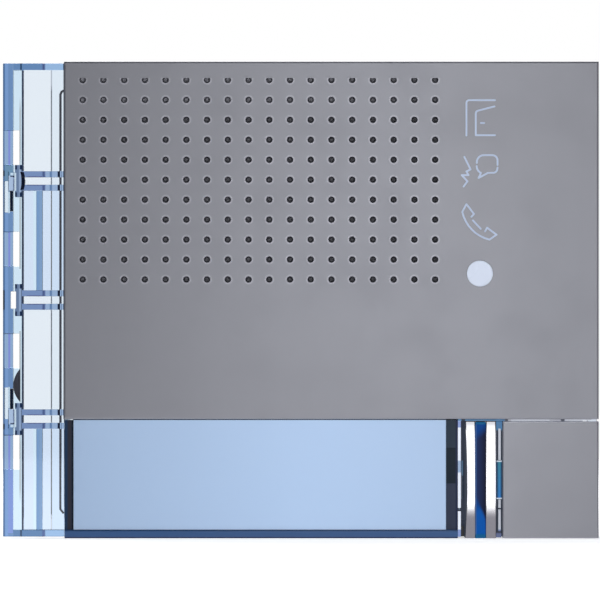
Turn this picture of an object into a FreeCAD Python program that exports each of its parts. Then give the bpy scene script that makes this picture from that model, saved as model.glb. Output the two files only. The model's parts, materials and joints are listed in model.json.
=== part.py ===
import FreeCAD, Part
import math
import os

Vec = FreeCAD.Vector

# Door intercom module, in millimetres. X runs to the right, Z up and Y from the front to the back.
# The origin is the centre of the seat plane, where the rear rim of the clear carrier meets the panel frame.

# Overall size: rows of the modular system, and the clear strip that the panel frame covers
row_pitch = 23.0
row_count = 4
module_width = 115.0
strip_width = 11.8
carrier_inset = 0.3
row_gap = 0.15

# Heights in front of the seat plane
face_height = 9.5
plate_sheet = 1.2
plate_rim_depth = 3.2
plate_rim_wall = 1.2
plate_edge_radius = 0.35
deck_thickness = 1.8
mesh_thickness = 0.3
fit_gap = 0.15
slide_gap = 0.1

# Housing behind the front cover
shell_stand_off = 2.3
shell_wall = 1.6
shell_left_gap = 1.7
shell_right_gap = 3.0
shell_end_gap = 3.5
shell_corner = 2.0
front_shell_depth = 10.2
seal_thickness = 0.8
rear_shell_depth = 17.2
board_stand_off = 3.0
board_thickness = 1.6
board_edge_gap = 0.5
bus_board_gap = 6.8

# Sound holes
hole_rows = 11
hole_pitch_x = 4.0
hole_pitch_z = 3.85
hole_radius = 0.57
hole_end_radius = 0.32
hole_sink_radius = 0.64
hole_sink_depth = 0.08
hole_margin_left = 3.63
hole_margin_right = 3.55
hole_margin_top = 3.53
top_row_reach = 0.36
mesh_margin = 1.5
mesh_over_top_row = 0.25

# Pictograms: lines cut through the plate and filled by the raised lines of their light guides
icon_line = 0.38
icon_fill_gap = 0.01
icon_from_right = 22.93
icon_guide_width = 7.6
icon_guide_rim = 0.8
door_icon_from_top = 10.85
door_icon_height = 7.8
talk_icon_below_door = 10.45
talk_icon_height = 7.4
handset_icon_below_talk = 9.7
handset_icon_height = 7.8
led_clearance = 1.6

# Window of the day and night sensor
sensor_below_handset = 9.9
sensor_radius = 2.5
sensor_rim = 0.8
sensor_set_back = 0.05

# Loudspeaker and microphone
speaker_from_plate_left = 31.7
speaker_from_top = 23.5
speaker_radius = 18.0
speaker_flange_width = 2.5
speaker_flange = 1.0
speaker_basket_depth = 6.0
speaker_basket_wall = 0.8
speaker_neck_radius = 9.0
surround_width = 1.7
cone_depth = 4.0
cone_wall = 0.4
surround_roll = 1.2
coil_radius = 5.3
coil_wall = 0.4
coil_length = 5.5
coil_clearance = 0.3
magnet_radius = 10.0
magnet_length = 6.0
cone_travel = 0.4
mic_radius = 3.0
mic_length = 2.7
mic_boot_wall = 1.5
mic_port_radius = 2.0

# Name window in the bottom row
window_left_trim = 1.85
window_right_trim = 2.3
window_thickness = 1.2
window_set_back = 0.3
label_thickness = 0.3
diffuser_thickness = 2.2
window_ledge = 1.5
ledge_thickness = 1.1
bottom_rail_height = 1.7
window_post = 0.58
label_led_count = 4

# Call key: chrome saddle, light line and grey cap on a clear rocker
cap_width = 18.6
key_gap = 0.8
key_top_gap = 0.4
key_lip = 0.25
key_lip_gap = 0.05
saddle_width = 6.0
saddle_bar = 2.0
saddle_waist = 0.35
saddle_end_gap = 0.1
saddle_crown = 0.6
saddle_fall = 0.6
saddle_fall_length = 5.6
saddle_top_fall = 0.2
saddle_top_fall_length = 1.4
saddle_bridge = 2.6
saddle_bridge_thickness = 0.6
key_light_set_back = 0.5
cap_gap = 1.2
gap_rib_width = 0.5
gap_rib_from_saddle = 0.66
gap_rib_height = 1.5
gap_rib_end = 1.4
tick_from_bottom = 5.6
tick_height = 0.25
tick_depth = 1.0
key_base_thickness = 1.2
key_base_height = 3.3
clip_width = 1.0
clip_length = 7.4
clip_height = 1.5
key_pin_inset = 1.5
key_pin_height = 4.9
key_pin_radius = 0.6
key_pin_play = 0.05
key_ear_radius = 1.15
key_ear_length = 1.5
key_ear_end_gap = 1.6
key_swing_deg = 3.0
key_stop_reach = 0.45
key_stop_thickness = 0.8
key_flange_reach = 0.45
key_flange_length = 1.5
key_flange_thickness = 0.5
key_side_gap = 0.15
pusher_radius = 0.8
key_bay_floor = 3.4
switch_from_pin = 12.5
switch_size = 6.2
switch_height = 3.5
plunger_radius = 1.7
plunger_length = 3.0
plunger_play = 0.05
plunger_reach = 1.9
plunger_end_gap = 0.5
leaf_width = 5.0
leaf_offset = 6.0
leaf_thickness = 0.25
leaf_foot = 2.5
leaf_length = 8.0

# Clear strip of the carrier
strip_height = 7.0
outer_wall = 1.95
end_band = 1.3
carrier_wall = 2.0
channel_width = 1.65
mid_panel_width = 5.7
floor_set_in = 0.4
channel_floor_height = 1.8
mid_floor_height = 2.6
inner_floor_height = 3.4
lip_width = 0.35
channel_lip_height = 5.5
inner_lip_height = 6.0
inner_lip_from_plate = 0.72
inner_lip_end = 5.6
inner_lip_corner = 0.7
rib_thickness = 1.15
rib_offset = 1.3
rib_height = 6.4
rib_step = 0.6
rib_step_from_plate = 3.95
cross_rib_from_plate = 4.2
cross_rib_width = 1.2
notch_depth = 1.3
channel_window_rim = 0.5
hook_block_width = 1.3
hook_block_length = 6.2
hook_block_height = 6.2
hook_slot_width = 0.6
hook_slot_length = 4.0
hook_slot_floor = 1.0
hook_pocket_wall = 0.3
hook_pocket_width = 0.7
hook_pocket_length = 6.1
hook_pocket_depth = 3.5
hook_tab_width = 1.2
hook_tab_over = 0.25
hook_tab_height = 0.4
hook_tab_reach = 1.9
hook_bulge_chord = 3.5
hook_bulge_depth = 0.3
hook_window_width = 1.0
hook_window_length = 3.3
hook_window_over = 0.2
notch_length = 6.7
bumper_chord = 6.4
bumper_depth = 1.3
bumper_height = 2.2
bumper_z = -16.5
snap_lug_width = 9.0
snap_lug_depth = 2.0

# Screws
screw_radius = 1.1
screw_head_radius = 2.3
screw_head_height = 1.6
screw_boss_radius = 3.0
shell_screw_inset = 4.2
shell_screw_sink = 1.8
shell_screw_bite = 8.0
board_boss_radius = 2.2
board_screw_bite = 2.4
board_screw_inset = 5.2
board_screw_from_row = 4.0
board_screw_from_top = 6.5
board_screw_from_speaker = 10.0

# Parts on the main board and on the bus board
led_width = 3.2
led_depth = 2.8
led_height = 1.0
processor_size = 12.0
processor_height = 1.6
audio_chip_size = 6.0
audio_chip_from_speaker = 12.0
header_length = 20.0
header_width = 4.0
parts_row_from_key_row = 11.0
capacitor_radius = 4.0
capacitor_length = 9.0
capacitor_from_edge = 8.0
capacitor_pitch = 10.0
inductor_radius = 5.0
inductor_height = 6.0
inductor_from_capacitor = 16.0
header_from_inductor = 3.2

# Sockets and controls at the back
terminal_ways = 4
terminal_pitch = 5.08
socket_row_from_bottom = 14.0
terminal_height = 9.0
terminal_wall = 0.9
terminal_pin_radius = 0.5
plug_play = 0.15
plug_overhang = 6.0
plug_engagement = 6.0
wire_radius = 1.25
clamp_screw_radius = 1.5
clamp_screw_length = 4.0
clamp_screw_sink = 0.3
clamp_slot_width = 0.6
clamp_slot_depth = 0.8
link_width = 12.0
link_height = 6.0
link_cavity_height = 3.4
link_wall = 0.9
link_pins = 8
pin_width = 0.5
pin_root = 0.5
pin_set_back = 1.5
socket_floor = 3.0
configurator_ways = 6
configurator_pitch = 3.4
configurator_end = 1.0
configurator_height = 9.0
configurator_slot_width = 2.2
configurator_slot_height = 7.0
control_row_from_top = 16.0
service_from_right = 37.5
service_width = 7.7
service_height = 3.9
service_wall = 0.4
service_corner = 1.0
service_tongue_width = 5.1
service_tongue_thickness = 0.9
service_tongue_set_back = 1.2
trimmer_from_right = 10.5
trimmer_pitch = 11.0
trimmer_size = 6.6
trimmer_height = 4.4
rotor_radius = 2.2
rotor_play = 0.05
rotor_slot_width = 0.7
rotor_slot_depth = 0.9
rear_hole_gap = 0.4
rear_set_back = 0.4
program_from_right = 11.5
program_from_top = 38.0
control_floor = 1.0
program_button_radius = 1.7
program_travel = 0.5
bay_depth = 0.6
bay_margin = 1.2
label_recess_depth = 0.4
label_recess_size = (52.0, 26.0)
label_recess_from_left = 8.0
label_recess_from_top = 18.0
recess_corner = 1.0

# Planes and edges that follow from the sizes above
left = -module_width / 2
right = module_width / 2
top = row_pitch * row_count / 2
bottom = -top
plate_left = left + strip_width
key_row_top = bottom + row_pitch
row_lines = [bottom + row_pitch * n for n in range(1, row_count)]
icon_centre_x = right - icon_from_right
door_icon_z = top - door_icon_from_top
talk_icon_z = door_icon_z - talk_icon_below_door
handset_icon_z = talk_icon_z - handset_icon_below_talk
sensor_z = handset_icon_z - sensor_below_handset

face = -face_height
plate_back = face + plate_sheet
rim_back = face + plate_rim_depth
deck_back = plate_back + deck_thickness
shell_face = deck_back + shell_stand_off
shell_inside = shell_face + shell_wall
board_front = shell_inside + board_stand_off
board_back = board_front + board_thickness
shell_joint = shell_face + front_shell_depth
rear_start = shell_joint + seal_thickness
rear_face = rear_start + rear_shell_depth
rear_inside = rear_face - shell_wall
bus_back = rear_inside - bus_board_gap
bus_front = bus_back - board_thickness

shell_x = (plate_left + shell_left_gap, right - shell_right_gap)
shell_z = (bottom + shell_end_gap, top - shell_end_gap)
grid_left = plate_left + hole_margin_left
grid_top = top - hole_margin_top
grid_end = icon_centre_x - icon_guide_width / 2 - icon_guide_rim - hole_margin_right
hole_columns = 1 + int((grid_end - grid_left) / hole_pitch_x)
grid_right = grid_left + hole_pitch_x * (hole_columns - 1)
grid_bottom = grid_top - hole_pitch_z * (hole_rows - 1)

speaker_x = plate_left + speaker_from_plate_left
speaker_z = top - speaker_from_top
speaker_opening = speaker_radius - speaker_flange_width
cone_radius = speaker_opening - speaker_basket_wall - surround_width
mic_x = grid_right - hole_pitch_x
mic_z = grid_bottom + hole_pitch_z

cover_right = right - plate_rim_wall - fit_gap
cover_top = top - plate_rim_wall - fit_gap
wall_right = right - carrier_inset
wall_top = top - carrier_inset
wall_bottom = -wall_top
inner_right = wall_right - carrier_wall
inner_top = wall_top - carrier_wall
skirt_front = rim_back + slide_gap

cap_x = (right - cap_width, right)
saddle_x = (cap_x[0] - cap_gap - saddle_width, cap_x[0] - cap_gap)
post_x = (saddle_x[0] - key_gap - window_post, saddle_x[0] - key_gap)
window_x = (plate_left + window_left_trim, post_x[0] - window_right_trim)
window_z = (bottom + bottom_rail_height, key_row_top - row_gap)
window_face = face + window_set_back
label_face = window_face + window_thickness
diffuser_face = label_face + label_thickness
ledge_face = diffuser_face + diffuser_thickness
ledge_back = ledge_face + ledge_thickness
tick_z = (bottom + tick_from_bottom, bottom + tick_from_bottom + tick_height)

slot_x = (saddle_x[0] + saddle_bar, saddle_x[1] - saddle_bar)
slot_centre = (slot_x[0] + slot_x[1]) / 2
key_z = (bottom, key_row_top - key_top_gap)
key_centre_z = (key_z[0] + key_z[1]) / 2
key_back = face + key_base_height
key_base_front = key_back - key_base_thickness
pin_x = right - key_pin_inset
pin_y = -key_pin_height
switch_x = pin_x - switch_from_pin
switch_front = board_front - switch_height
plunger_front = switch_front - plunger_reach
plunger_travel = switch_from_pin * math.radians(key_swing_deg)

board_x = (shell_x[0] + shell_wall + board_edge_gap, shell_x[1] - shell_wall - board_edge_gap)
board_z = (shell_z[0] + shell_wall + board_edge_gap, shell_z[1] - shell_wall - board_edge_gap)
parts_row_z = key_row_top + parts_row_from_key_row
socket_row_z = bottom + socket_row_from_bottom
control_row_z = top - control_row_from_top
service_x = right - service_from_right
trimmer_x = [right - trimmer_from_right - trimmer_pitch, right - trimmer_from_right]
program_x = right - program_from_right
program_z = top - program_from_top


def span(centre, size):
    """Limits of a size placed about its centre."""
    return (centre - size / 2, centre + size / 2)


def grow(limits, amount):
    """Limits moved outwards by an amount at both ends."""
    return (limits[0] - amount, limits[1] + amount)


def block(x, y, z):
    """Box between its limits on each axis."""
    return Part.makeBox(x[1] - x[0], y[1] - y[0], z[1] - z[0], Vec(x[0], y[0], z[0]))


def rod(x, z, radius, y):
    """Round rod along Y."""
    return Part.makeCylinder(radius, y[1] - y[0], Vec(x, y[0], z), Vec(0, 1, 0))


def upright(x, y, radius, z):
    """Round rod along Z."""
    return Part.makeCylinder(radius, z[1] - z[0], Vec(x, y, z[0]), Vec(0, 0, 1))


def along(shape, direction):
    """Straight edges of a shape that run along a direction."""
    edges = []
    for edge in shape.Edges:
        if isinstance(edge.Curve, Part.Line):
            tangent = edge.tangentAt(edge.FirstParameter)
            if abs(tangent.dot(direction)) > 0.999:
                edges.append(edge)
    return edges


def rounded(x, y, z, radius):
    """Box with its edges along Y rounded."""
    solid = block(x, y, z)
    return solid.makeFillet(radius, along(solid, Vec(0, 1, 0)))


def join(first, *others):
    """One solid from pieces that meet."""
    return first.fuse(list(others)).removeSplitter()


def turned(points, x, z):
    """Solid of revolution about an axis along Y through x, z, from points of radius and y."""
    corners = [Vec(x + radius, y, z) for radius, y in points]
    outline = Part.makePolygon(corners + corners[:1])
    return Part.Face(outline).revolve(Vec(x, 0, z), Vec(0, 1, 0), 360)


def prism(points, y):
    """Straight-sided outline in X and Z, carried along Y."""
    corners = [Vec(x, y[0], z) for x, z in points]
    return Part.Face(Part.makePolygon(corners + corners[:1])).extrude(Vec(0, y[1] - y[0], 0))


def stroke(path, width, y):
    """Line of the given width along a path of points, with round ends, carried along Y."""
    pieces = [rod(path[0][0], path[0][1], width / 2, y)]
    for (x0, z0), (x1, z1) in zip(path, path[1:]):
        length = math.hypot(x1 - x0, z1 - z0)
        side_x, side_z = -(z1 - z0) / length * width / 2, (x1 - x0) / length * width / 2
        corners = [
            (x0 + side_x, z0 + side_z),
            (x1 + side_x, z1 + side_z),
            (x1 - side_x, z1 - side_z),
            (x0 - side_x, z0 - side_z),
        ]
        pieces += [prism(corners, y), rod(x1, z1, width / 2, y)]
    return join(pieces[0], *pieces[1:])


def arc_points(start, middle, end, steps):
    """Points along the arc through three points, for a line that bends."""
    arc = Part.Arc(*[Vec(x, 0, z) for x, z in (start, middle, end)])
    return [(p.x, p.z) for p in arc.toShape().discretize(steps + 1)]


def at_icon(centre_z, path):
    """Path given from a pictogram's centre, moved to its place on the plate."""
    return [(icon_centre_x + x, centre_z + z) for x, z in path]


def door_lines():
    """Door frame, open leaf and handle."""
    frame = [(2.9, 3.4)] + arc_points((-2.1, 3.4), (-2.45, 3.25), (-2.6, 2.9), 4) + [(-2.6, -3.4)]
    corner = arc_points((-0.3, 1.4), (-0.67, 1.2), (-0.8, 0.8), 4)
    leaf = [(2.8, 2.2)] + corner + [(-0.8, -3.35), (2.9, -3.35)]
    handle = [(0.2, -1.0), (0.8, -1.0)]
    return [at_icon(door_icon_z, path) for path in (frame, leaf, handle)]


def talk_lines():
    """Profile of a talking head and a speech bubble, left open where bridges hold its middle."""
    profile = [(-3.0, 2.9), (-1.8, 0.5), (-2.6, 0.1), (-2.2, -0.6), (-3.5, -0.6)]
    profile += [(-3.05, -1.1), (-2.4, -1.8), (-3.15, -2.8)]
    tip = arc_points((-0.6, 1.75), (-0.25, 2.8), (0.8, 3.25), 6)
    tip += arc_points((2.4, 3.25), (3.1, 2.97), (3.4, 2.3), 5) + [(3.4, 1.35)]
    tail = [(3.4, 0.85)] + arc_points((3.35, 0.5), (3.05, 0.0), (2.4, -0.15), 5)
    tail += [(1.5, -0.2), (-0.25, -1.15)] + arc_points((0.2, -0.2), (-0.4, 0.35), (-0.62, 1.15), 5)
    return [at_icon(talk_icon_z, path) for path in (profile, tip, tail)]


def handset_lines():
    """Outline of a telephone handset, left open where bridges hold its middle."""
    back = arc_points((-3.4, 2.0), (-0.85, -2.05), (1.85, -3.35), 8)
    outline = [(-1.65, 1.05), (-1.15, 1.6), (-2.6, 3.5)] + back + [(3.2, -2.4), (1.4, -1.05), (1.0, -1.75)]
    grip = [(-1.35, 0.35), (0.15, -1.25)]
    return [at_icon(handset_icon_z, path) for path in (outline, grip)]


def hole_cutters():
    """Sound holes in rows and columns, narrower behind; those of the top row stop just above their centres."""
    corners = [(0, face), (hole_sink_radius, face), (hole_radius, face + hole_sink_depth)]
    cutter = turned(corners + [(hole_end_radius, plate_back), (0, plate_back)], 0, 0)
    covered = cutter.common(block((-1, 1), (face, plate_back), (-1, top_row_reach)))
    places = []
    for column in range(hole_columns):
        for row in range(hole_rows):
            copy = (covered if row == 0 else cutter).copy()
            copy.translate(Vec(grid_left + hole_pitch_x * column, 0, grid_top - hole_pitch_z * row))
            places.append(copy)
    return places


def front_plate():
    """Metal face with a rim along its top and right edge, sound holes, pictograms and sensor hole."""
    solid = block((plate_left, right), (face, rim_back), (key_row_top, top))
    front_edges = [e for e in solid.Edges if e.BoundBox.YMax < face + 0.01]
    solid = solid.makeFillet(plate_edge_radius, front_edges)
    hollow_x = (plate_left - 1, right - plate_rim_wall)
    hollow_z = (key_row_top - 1, top - plate_rim_wall)
    solid = solid.cut(block(hollow_x, (plate_back, rim_back + 1), hollow_z))
    solid = solid.cut(hole_cutters())
    through = (face - 1, plate_back + 1)
    lines = [stroke(path, icon_line, through) for path in door_lines() + talk_lines() + handset_lines()]
    sensor = rod(icon_centre_x, sensor_z, sensor_radius + key_pin_play, through)
    return solid.cut(lines + [sensor])


def speaker_mesh():
    """Acoustic cloth behind all the sound holes."""
    x = (grid_left - mesh_margin, grid_right + mesh_margin)
    z = (grid_bottom - mesh_margin, grid_top + mesh_over_top_row)
    return block(x, (plate_back, plate_back + mesh_thickness), z)


def icon_guide(lines, centre_z, height):
    """Light guide behind one pictogram: a bar with a rim behind the deck and the raised lines in front."""
    x = span(icon_centre_x, icon_guide_width)
    z = span(centre_z, height)
    bar = block(x, (plate_back, board_front - led_height - led_clearance / 2), z)
    rim = block(grow(x, icon_guide_rim), (deck_back, deck_back + 1.0), grow(z, icon_guide_rim))
    raised = [stroke(path, icon_line - 2 * icon_fill_gap, (face + 0.05, plate_back + 0.2)) for path in lines]
    return join(bar, rim, *raised)


def sensor_lens():
    """Pale window of the light sensor, with its rim behind the deck."""
    pipe = rod(icon_centre_x, sensor_z, sensor_radius, (face + sensor_set_back, board_front - led_clearance))
    rim = rod(icon_centre_x, sensor_z, sensor_radius + sensor_rim, (deck_back, deck_back + 1.0))
    return join(pipe, rim)


def carrier_deck():
    """Deck behind the plate, with the shoulders that fit inside the plate's rim."""
    deck = block((plate_left, cover_right), (plate_back, deck_back), (key_row_top, cover_top))
    top_shoulder = block((plate_left, cover_right), (plate_back, 0), (inner_top, cover_top))
    right_shoulder = block((inner_right, cover_right), (plate_back, 0), (key_row_top, cover_top))
    left_wall = block((plate_left, plate_left + carrier_wall / 2), (plate_back, 0), (key_row_top, cover_top))
    row_wall_z = (key_row_top, key_row_top + window_ledge)
    row_wall = block((plate_left, cover_right), (plate_back, ledge_back), row_wall_z)
    lip_z = (key_row_top - key_lip_gap - key_lip, key_row_top - key_lip_gap)
    key_row_lip = block((post_x[0], right - carrier_inset), (window_face, plate_back), lip_z)
    lip_root_z = (lip_z[0], row_wall_z[1])
    lip_root = block((post_x[0], cover_right), (plate_back, plate_back + key_lip), lip_root_z)
    return [deck, top_shoulder, right_shoulder, left_wall, row_wall, key_row_lip, lip_root]


def carrier_skirt():
    """Rim that reaches the seat plane all round, lower where the call key swings above it."""
    top_rim = block((plate_left, wall_right), (skirt_front, 0), (inner_top, wall_top))
    right_rim = block((inner_right, wall_right), (skirt_front, 0), (key_row_top, wall_top))
    key_rim = block((inner_right, wall_right), (-key_bay_floor, 0), (wall_bottom, key_row_top))
    sill_z = (wall_bottom, wall_bottom + carrier_wall)
    key_sill = block((post_x[0], wall_right), (-key_bay_floor, 0), sill_z)
    window_sill = block((plate_left, post_x[1]), (ledge_face, 0), sill_z)
    return [top_rim, right_rim, key_rim, key_sill, window_sill]


def carrier_window_frame():
    """Ledge behind the name window, and the clear post between the window and the call key."""
    ledge_x = (plate_left, post_x[1])
    frame_z = (wall_bottom, key_row_top)
    left_wall = block((plate_left, plate_left + carrier_wall / 2), (ledge_face, 0), frame_z)
    left_side = block((plate_left, window_x[0] + window_ledge), (ledge_face, ledge_back), frame_z)
    ledge_y = (ledge_face, ledge_back)
    right_side = block((window_x[1] - window_ledge, post_x[1]), ledge_y, (window_z[0], key_row_top))
    upper = block(ledge_x, ledge_y, (key_row_top - window_ledge, key_row_top + window_ledge))
    lower = block(ledge_x, ledge_y, (wall_bottom, window_z[0] + window_ledge))
    post = block(post_x, (window_face, ledge_back), (wall_bottom, key_row_top))
    post = post.cut(block(grow(post_x, 1), (window_face - 1, window_face + tick_depth), tick_z))
    stop_y = (key_back - slide_gap - key_stop_thickness, key_back - slide_gap)
    stop = block((post_x[1], post_x[1] + key_stop_reach), stop_y, span(key_centre_z, clip_length))
    return [left_wall, left_side, right_side, upper, lower, post, stop]


def key_ears():
    """Two ears at the right rim that hold the hinge pin of the call key."""
    ears = []
    for z in key_ear_spans():
        foot = block(span(pin_x, 2 * key_ear_radius), (pin_y, -key_bay_floor), z)
        ears += [foot, upright(pin_x, pin_y, key_ear_radius, z)]
    return ears


def key_ear_spans():
    """Heights of the lower and the upper ear."""
    low, high = key_z[0] + key_ear_end_gap, key_z[1] - key_ear_end_gap
    return [(low, low + key_ear_length), (high - key_ear_length, high)]


def strip_base():
    """Floors, outer wall and end bands of the clear strip."""
    channel_x = (left + outer_wall, left + outer_wall + channel_width)
    mid_x = (channel_x[1], channel_x[1] + mid_panel_width)
    inner_x = (mid_x[1], plate_left)
    height = (wall_bottom, wall_top)
    pieces = [block((left, left + outer_wall), (-strip_height, 0), height)]
    pieces.append(block(channel_x, (-channel_floor_height, -floor_set_in), height))
    pieces.append(block(mid_x, (-mid_floor_height, -floor_set_in), height))
    pieces.append(block(inner_x, (-inner_floor_height, -floor_set_in), height))
    lip_x = (channel_x[1], channel_x[1] + lip_width)
    pieces.append(block(lip_x, (-channel_lip_height, -floor_set_in), height))
    step_x = plate_left - rib_step_from_plate
    for z in ((wall_bottom, wall_bottom + end_band), (wall_top - end_band, wall_top)):
        pieces.append(block((left, step_x), (-strip_height, 0), z))
        pieces.append(block((step_x, plate_left), (rib_step - strip_height, 0), z))
    return pieces


def strip_ribs():
    """Rib pairs at the row lines, short upright ribs and the lip beside the plate."""
    step_x = plate_left - rib_step_from_plate
    pieces = []
    for line in row_lines:
        for side in (-1, 1):
            z = span(line + side * rib_offset, rib_thickness)
            pieces.append(block((left + outer_wall + channel_width, step_x), (-rib_height, -floor_set_in), z))
            pieces.append(block((step_x, plate_left), (rib_step - rib_height, -floor_set_in), z))
    cross_x = (plate_left - cross_rib_from_plate - cross_rib_width, plate_left - cross_rib_from_plate)
    lower_cross = (wall_bottom, row_lines[0] - rib_offset)
    upper_cross = (row_lines[1] + rib_offset, row_lines[2] - rib_offset)
    for z in (lower_cross, upper_cross):
        pieces.append(block(cross_x, (-channel_lip_height, -floor_set_in), z))
    pieces.append(stroke(inner_lip_path(), lip_width, (-inner_lip_height, -floor_set_in)))
    return pieces


def inner_lip_path():
    """Line of the lip beside the plate, turned in to the plate at both ends."""
    x = plate_left - inner_lip_from_plate
    low, high = bottom + inner_lip_end, top - inner_lip_end
    corner = (x + inner_lip_corner * 0.3, high - inner_lip_corner * 0.3)
    end_x = plate_left - lip_width / 2
    return [(end_x, low - inner_lip_corner), (x, low), (x, high - inner_lip_corner), corner, (end_x, high)]


def hook_signs():
    """Row line of each outer hook station, and the side of it on which the slot lies."""
    return [(row_lines[2], -1), (row_lines[0], 1)]


def hook_blocks():
    """Raised blocks of the three hook stations, with a tab at the outer two and a bulge at the upper one."""
    wall_end = left + outer_wall
    channel_end = wall_end + channel_width
    y = (-hook_block_height, -floor_set_in)
    x = (channel_end - hook_block_width, channel_end)
    pieces = [block(x, y, span(line, hook_block_length)) for line in row_lines]
    for line, side in hook_signs():
        tab_x = (wall_end + hook_tab_over - hook_tab_width, wall_end + hook_tab_over)
        tab_z = sorted((line - side * hook_tab_reach, line + side * hook_tab_reach))
        pieces.append(block(tab_x, (-strip_height - hook_tab_height, -hook_block_height), tuple(tab_z)))
    lip_end = channel_end + lip_width
    pieces.append(half_moon(lip_end, row_lines[-1], hook_bulge_chord, hook_bulge_depth, y))
    return pieces


def half_moon(flat_x, z, chord, bow, y):
    """Half-moon with its flat side at an X and its bow to the right, or to the left if that is negative."""
    ends = [Vec(flat_x, y[0], z - chord / 2), Vec(flat_x, y[0], z + chord / 2)]
    curve = Part.Arc(ends[0], Vec(flat_x + bow, y[0], z), ends[1]).toShape()
    outline = Part.Wire([curve, Part.makeLine(ends[1], ends[0])])
    return Part.Face(outline).extrude(Vec(0, y[1] - y[0], 0))


def hook_slot(line, side):
    """Limits of the slot for a hook spring in the outer wall, beside the station's tab."""
    x = (left + outer_wall - hook_slot_width, left + outer_wall)
    z = sorted((line + side * hook_tab_reach, line + side * (hook_tab_reach + hook_slot_length)))
    return x, tuple(z)


def hook_cuts():
    """Pockets and slots in the outer wall, and notches through its rear edge and the channel floor."""
    cuts = []
    for line, side in hook_signs():
        x, z = hook_slot(line, side)
        cuts.append(block(x, (-strip_height - 1, -hook_slot_floor), z))
        pocket_z = sorted((line, line + side * hook_pocket_length))
        pocket_x = (left + hook_pocket_wall, left + hook_pocket_wall + hook_pocket_width)
        cuts.append(block(pocket_x, (-strip_height - 1, hook_pocket_depth - strip_height), tuple(pocket_z)))
    channel_end = left + outer_wall + channel_width
    channel_window_x = (left + outer_wall, channel_end - channel_window_rim)
    window_end = channel_end - hook_block_width + hook_window_over
    middle_x = (window_end - hook_window_width, window_end)
    cuts.append(block(middle_x, (-strip_height - 1, 1), span(row_lines[1], hook_window_length)))
    for line, side in hook_signs():
        near = hook_block_length / 2
        far = near + notch_length
        for start, end in ((near, far), (-far, -far - notch_length)):
            z = tuple(sorted((line - side * start, line - side * end)))
            cuts.append(block((left - 1, left + outer_wall), (-notch_depth, 1), z))
            cuts.append(block(channel_window_x, (-channel_floor_height - 1, 1), z))
    return cuts


def deck_openings():
    """Openings of the deck for sound, pictogram guides and the sensor, and the pocket for the cloth."""
    through = (plate_back - 1, ledge_back)
    mesh_x = (grid_left - mesh_margin - slide_gap, grid_right + mesh_margin + slide_gap)
    mesh_z = (grid_bottom - mesh_margin - slide_gap, grid_top + mesh_over_top_row + slide_gap)
    cuts = [block(mesh_x, (plate_back - 1, plate_back + mesh_thickness), mesh_z)]
    cuts.append(rod(speaker_x, speaker_z, speaker_opening, through))
    cuts.append(rod(mic_x, mic_z, mic_port_radius, through))
    cuts.append(rod(icon_centre_x, sensor_z, sensor_radius + slide_gap, through))
    for centre_z, height in icon_places():
        guide_x = grow(span(icon_centre_x, icon_guide_width), slide_gap)
        cuts.append(block(guide_x, through, grow(span(centre_z, height), slide_gap)))
    return cuts


def icon_places():
    """Centre height and height of each pictogram's light guide."""
    return [
        (door_icon_z, door_icon_height),
        (talk_icon_z, talk_icon_height),
        (handset_icon_z, handset_icon_height),
    ]


def front_carrier():
    """Clear moulding that carries the plate, the window and the call key, and meets the panel frame."""
    pieces = carrier_deck() + carrier_skirt() + carrier_window_frame() + key_ears()
    pieces += strip_base() + strip_ribs() + hook_blocks()
    solid = pieces[0].fuse(pieces[1:])
    pin_z = (key_ear_spans()[0][0] - 1, key_ear_spans()[1][1] + 1)
    cuts = deck_openings() + hook_cuts() + [upright(pin_x, pin_y, key_pin_radius, pin_z)]
    return solid.cut(cuts).removeSplitter()


def hook_springs():
    """Leaf springs in the slots of the outer hook stations."""
    springs = []
    for line, side in hook_signs():
        x, z = hook_slot(line, side)
        spring_y = (-rib_height, -hook_slot_floor)
        springs.append(block(grow(x, -slide_gap / 2), spring_y, grow(z, -slide_gap / 2)))
    return Part.makeCompound(springs)


def edge_bumper():
    """Half-moon rubber bumper on the floor of the strip's channel."""
    y = (-channel_floor_height - bumper_height, -channel_floor_height)
    return half_moon(left + outer_wall + bumper_depth, bumper_z, bumper_chord, -bumper_depth, y)


def name_window():
    """Clear cover of the name label, with softened front edges."""
    solid = block(window_x, (window_face, label_face), window_z)
    front_edges = [e for e in solid.Edges if e.BoundBox.YMax < window_face + 0.01]
    return solid.makeChamfer(plate_edge_radius, front_edges)


def window_trim(x):
    """Dark end of the name window."""
    return block(x, (window_face + 0.4, ledge_face), window_z)


def bottom_rail():
    """Clear blue rail under the window, closing the lower edge of the cover."""
    x = (plate_left + 0.1, post_x[0])
    solid = block(x, (window_face, ledge_face), (bottom, window_z[0]))
    front_edges = [e for e in along(solid, Vec(1, 0, 0)) if e.BoundBox.YMax < window_face + 0.01]
    return solid.makeFillet(plate_edge_radius, front_edges)


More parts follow.
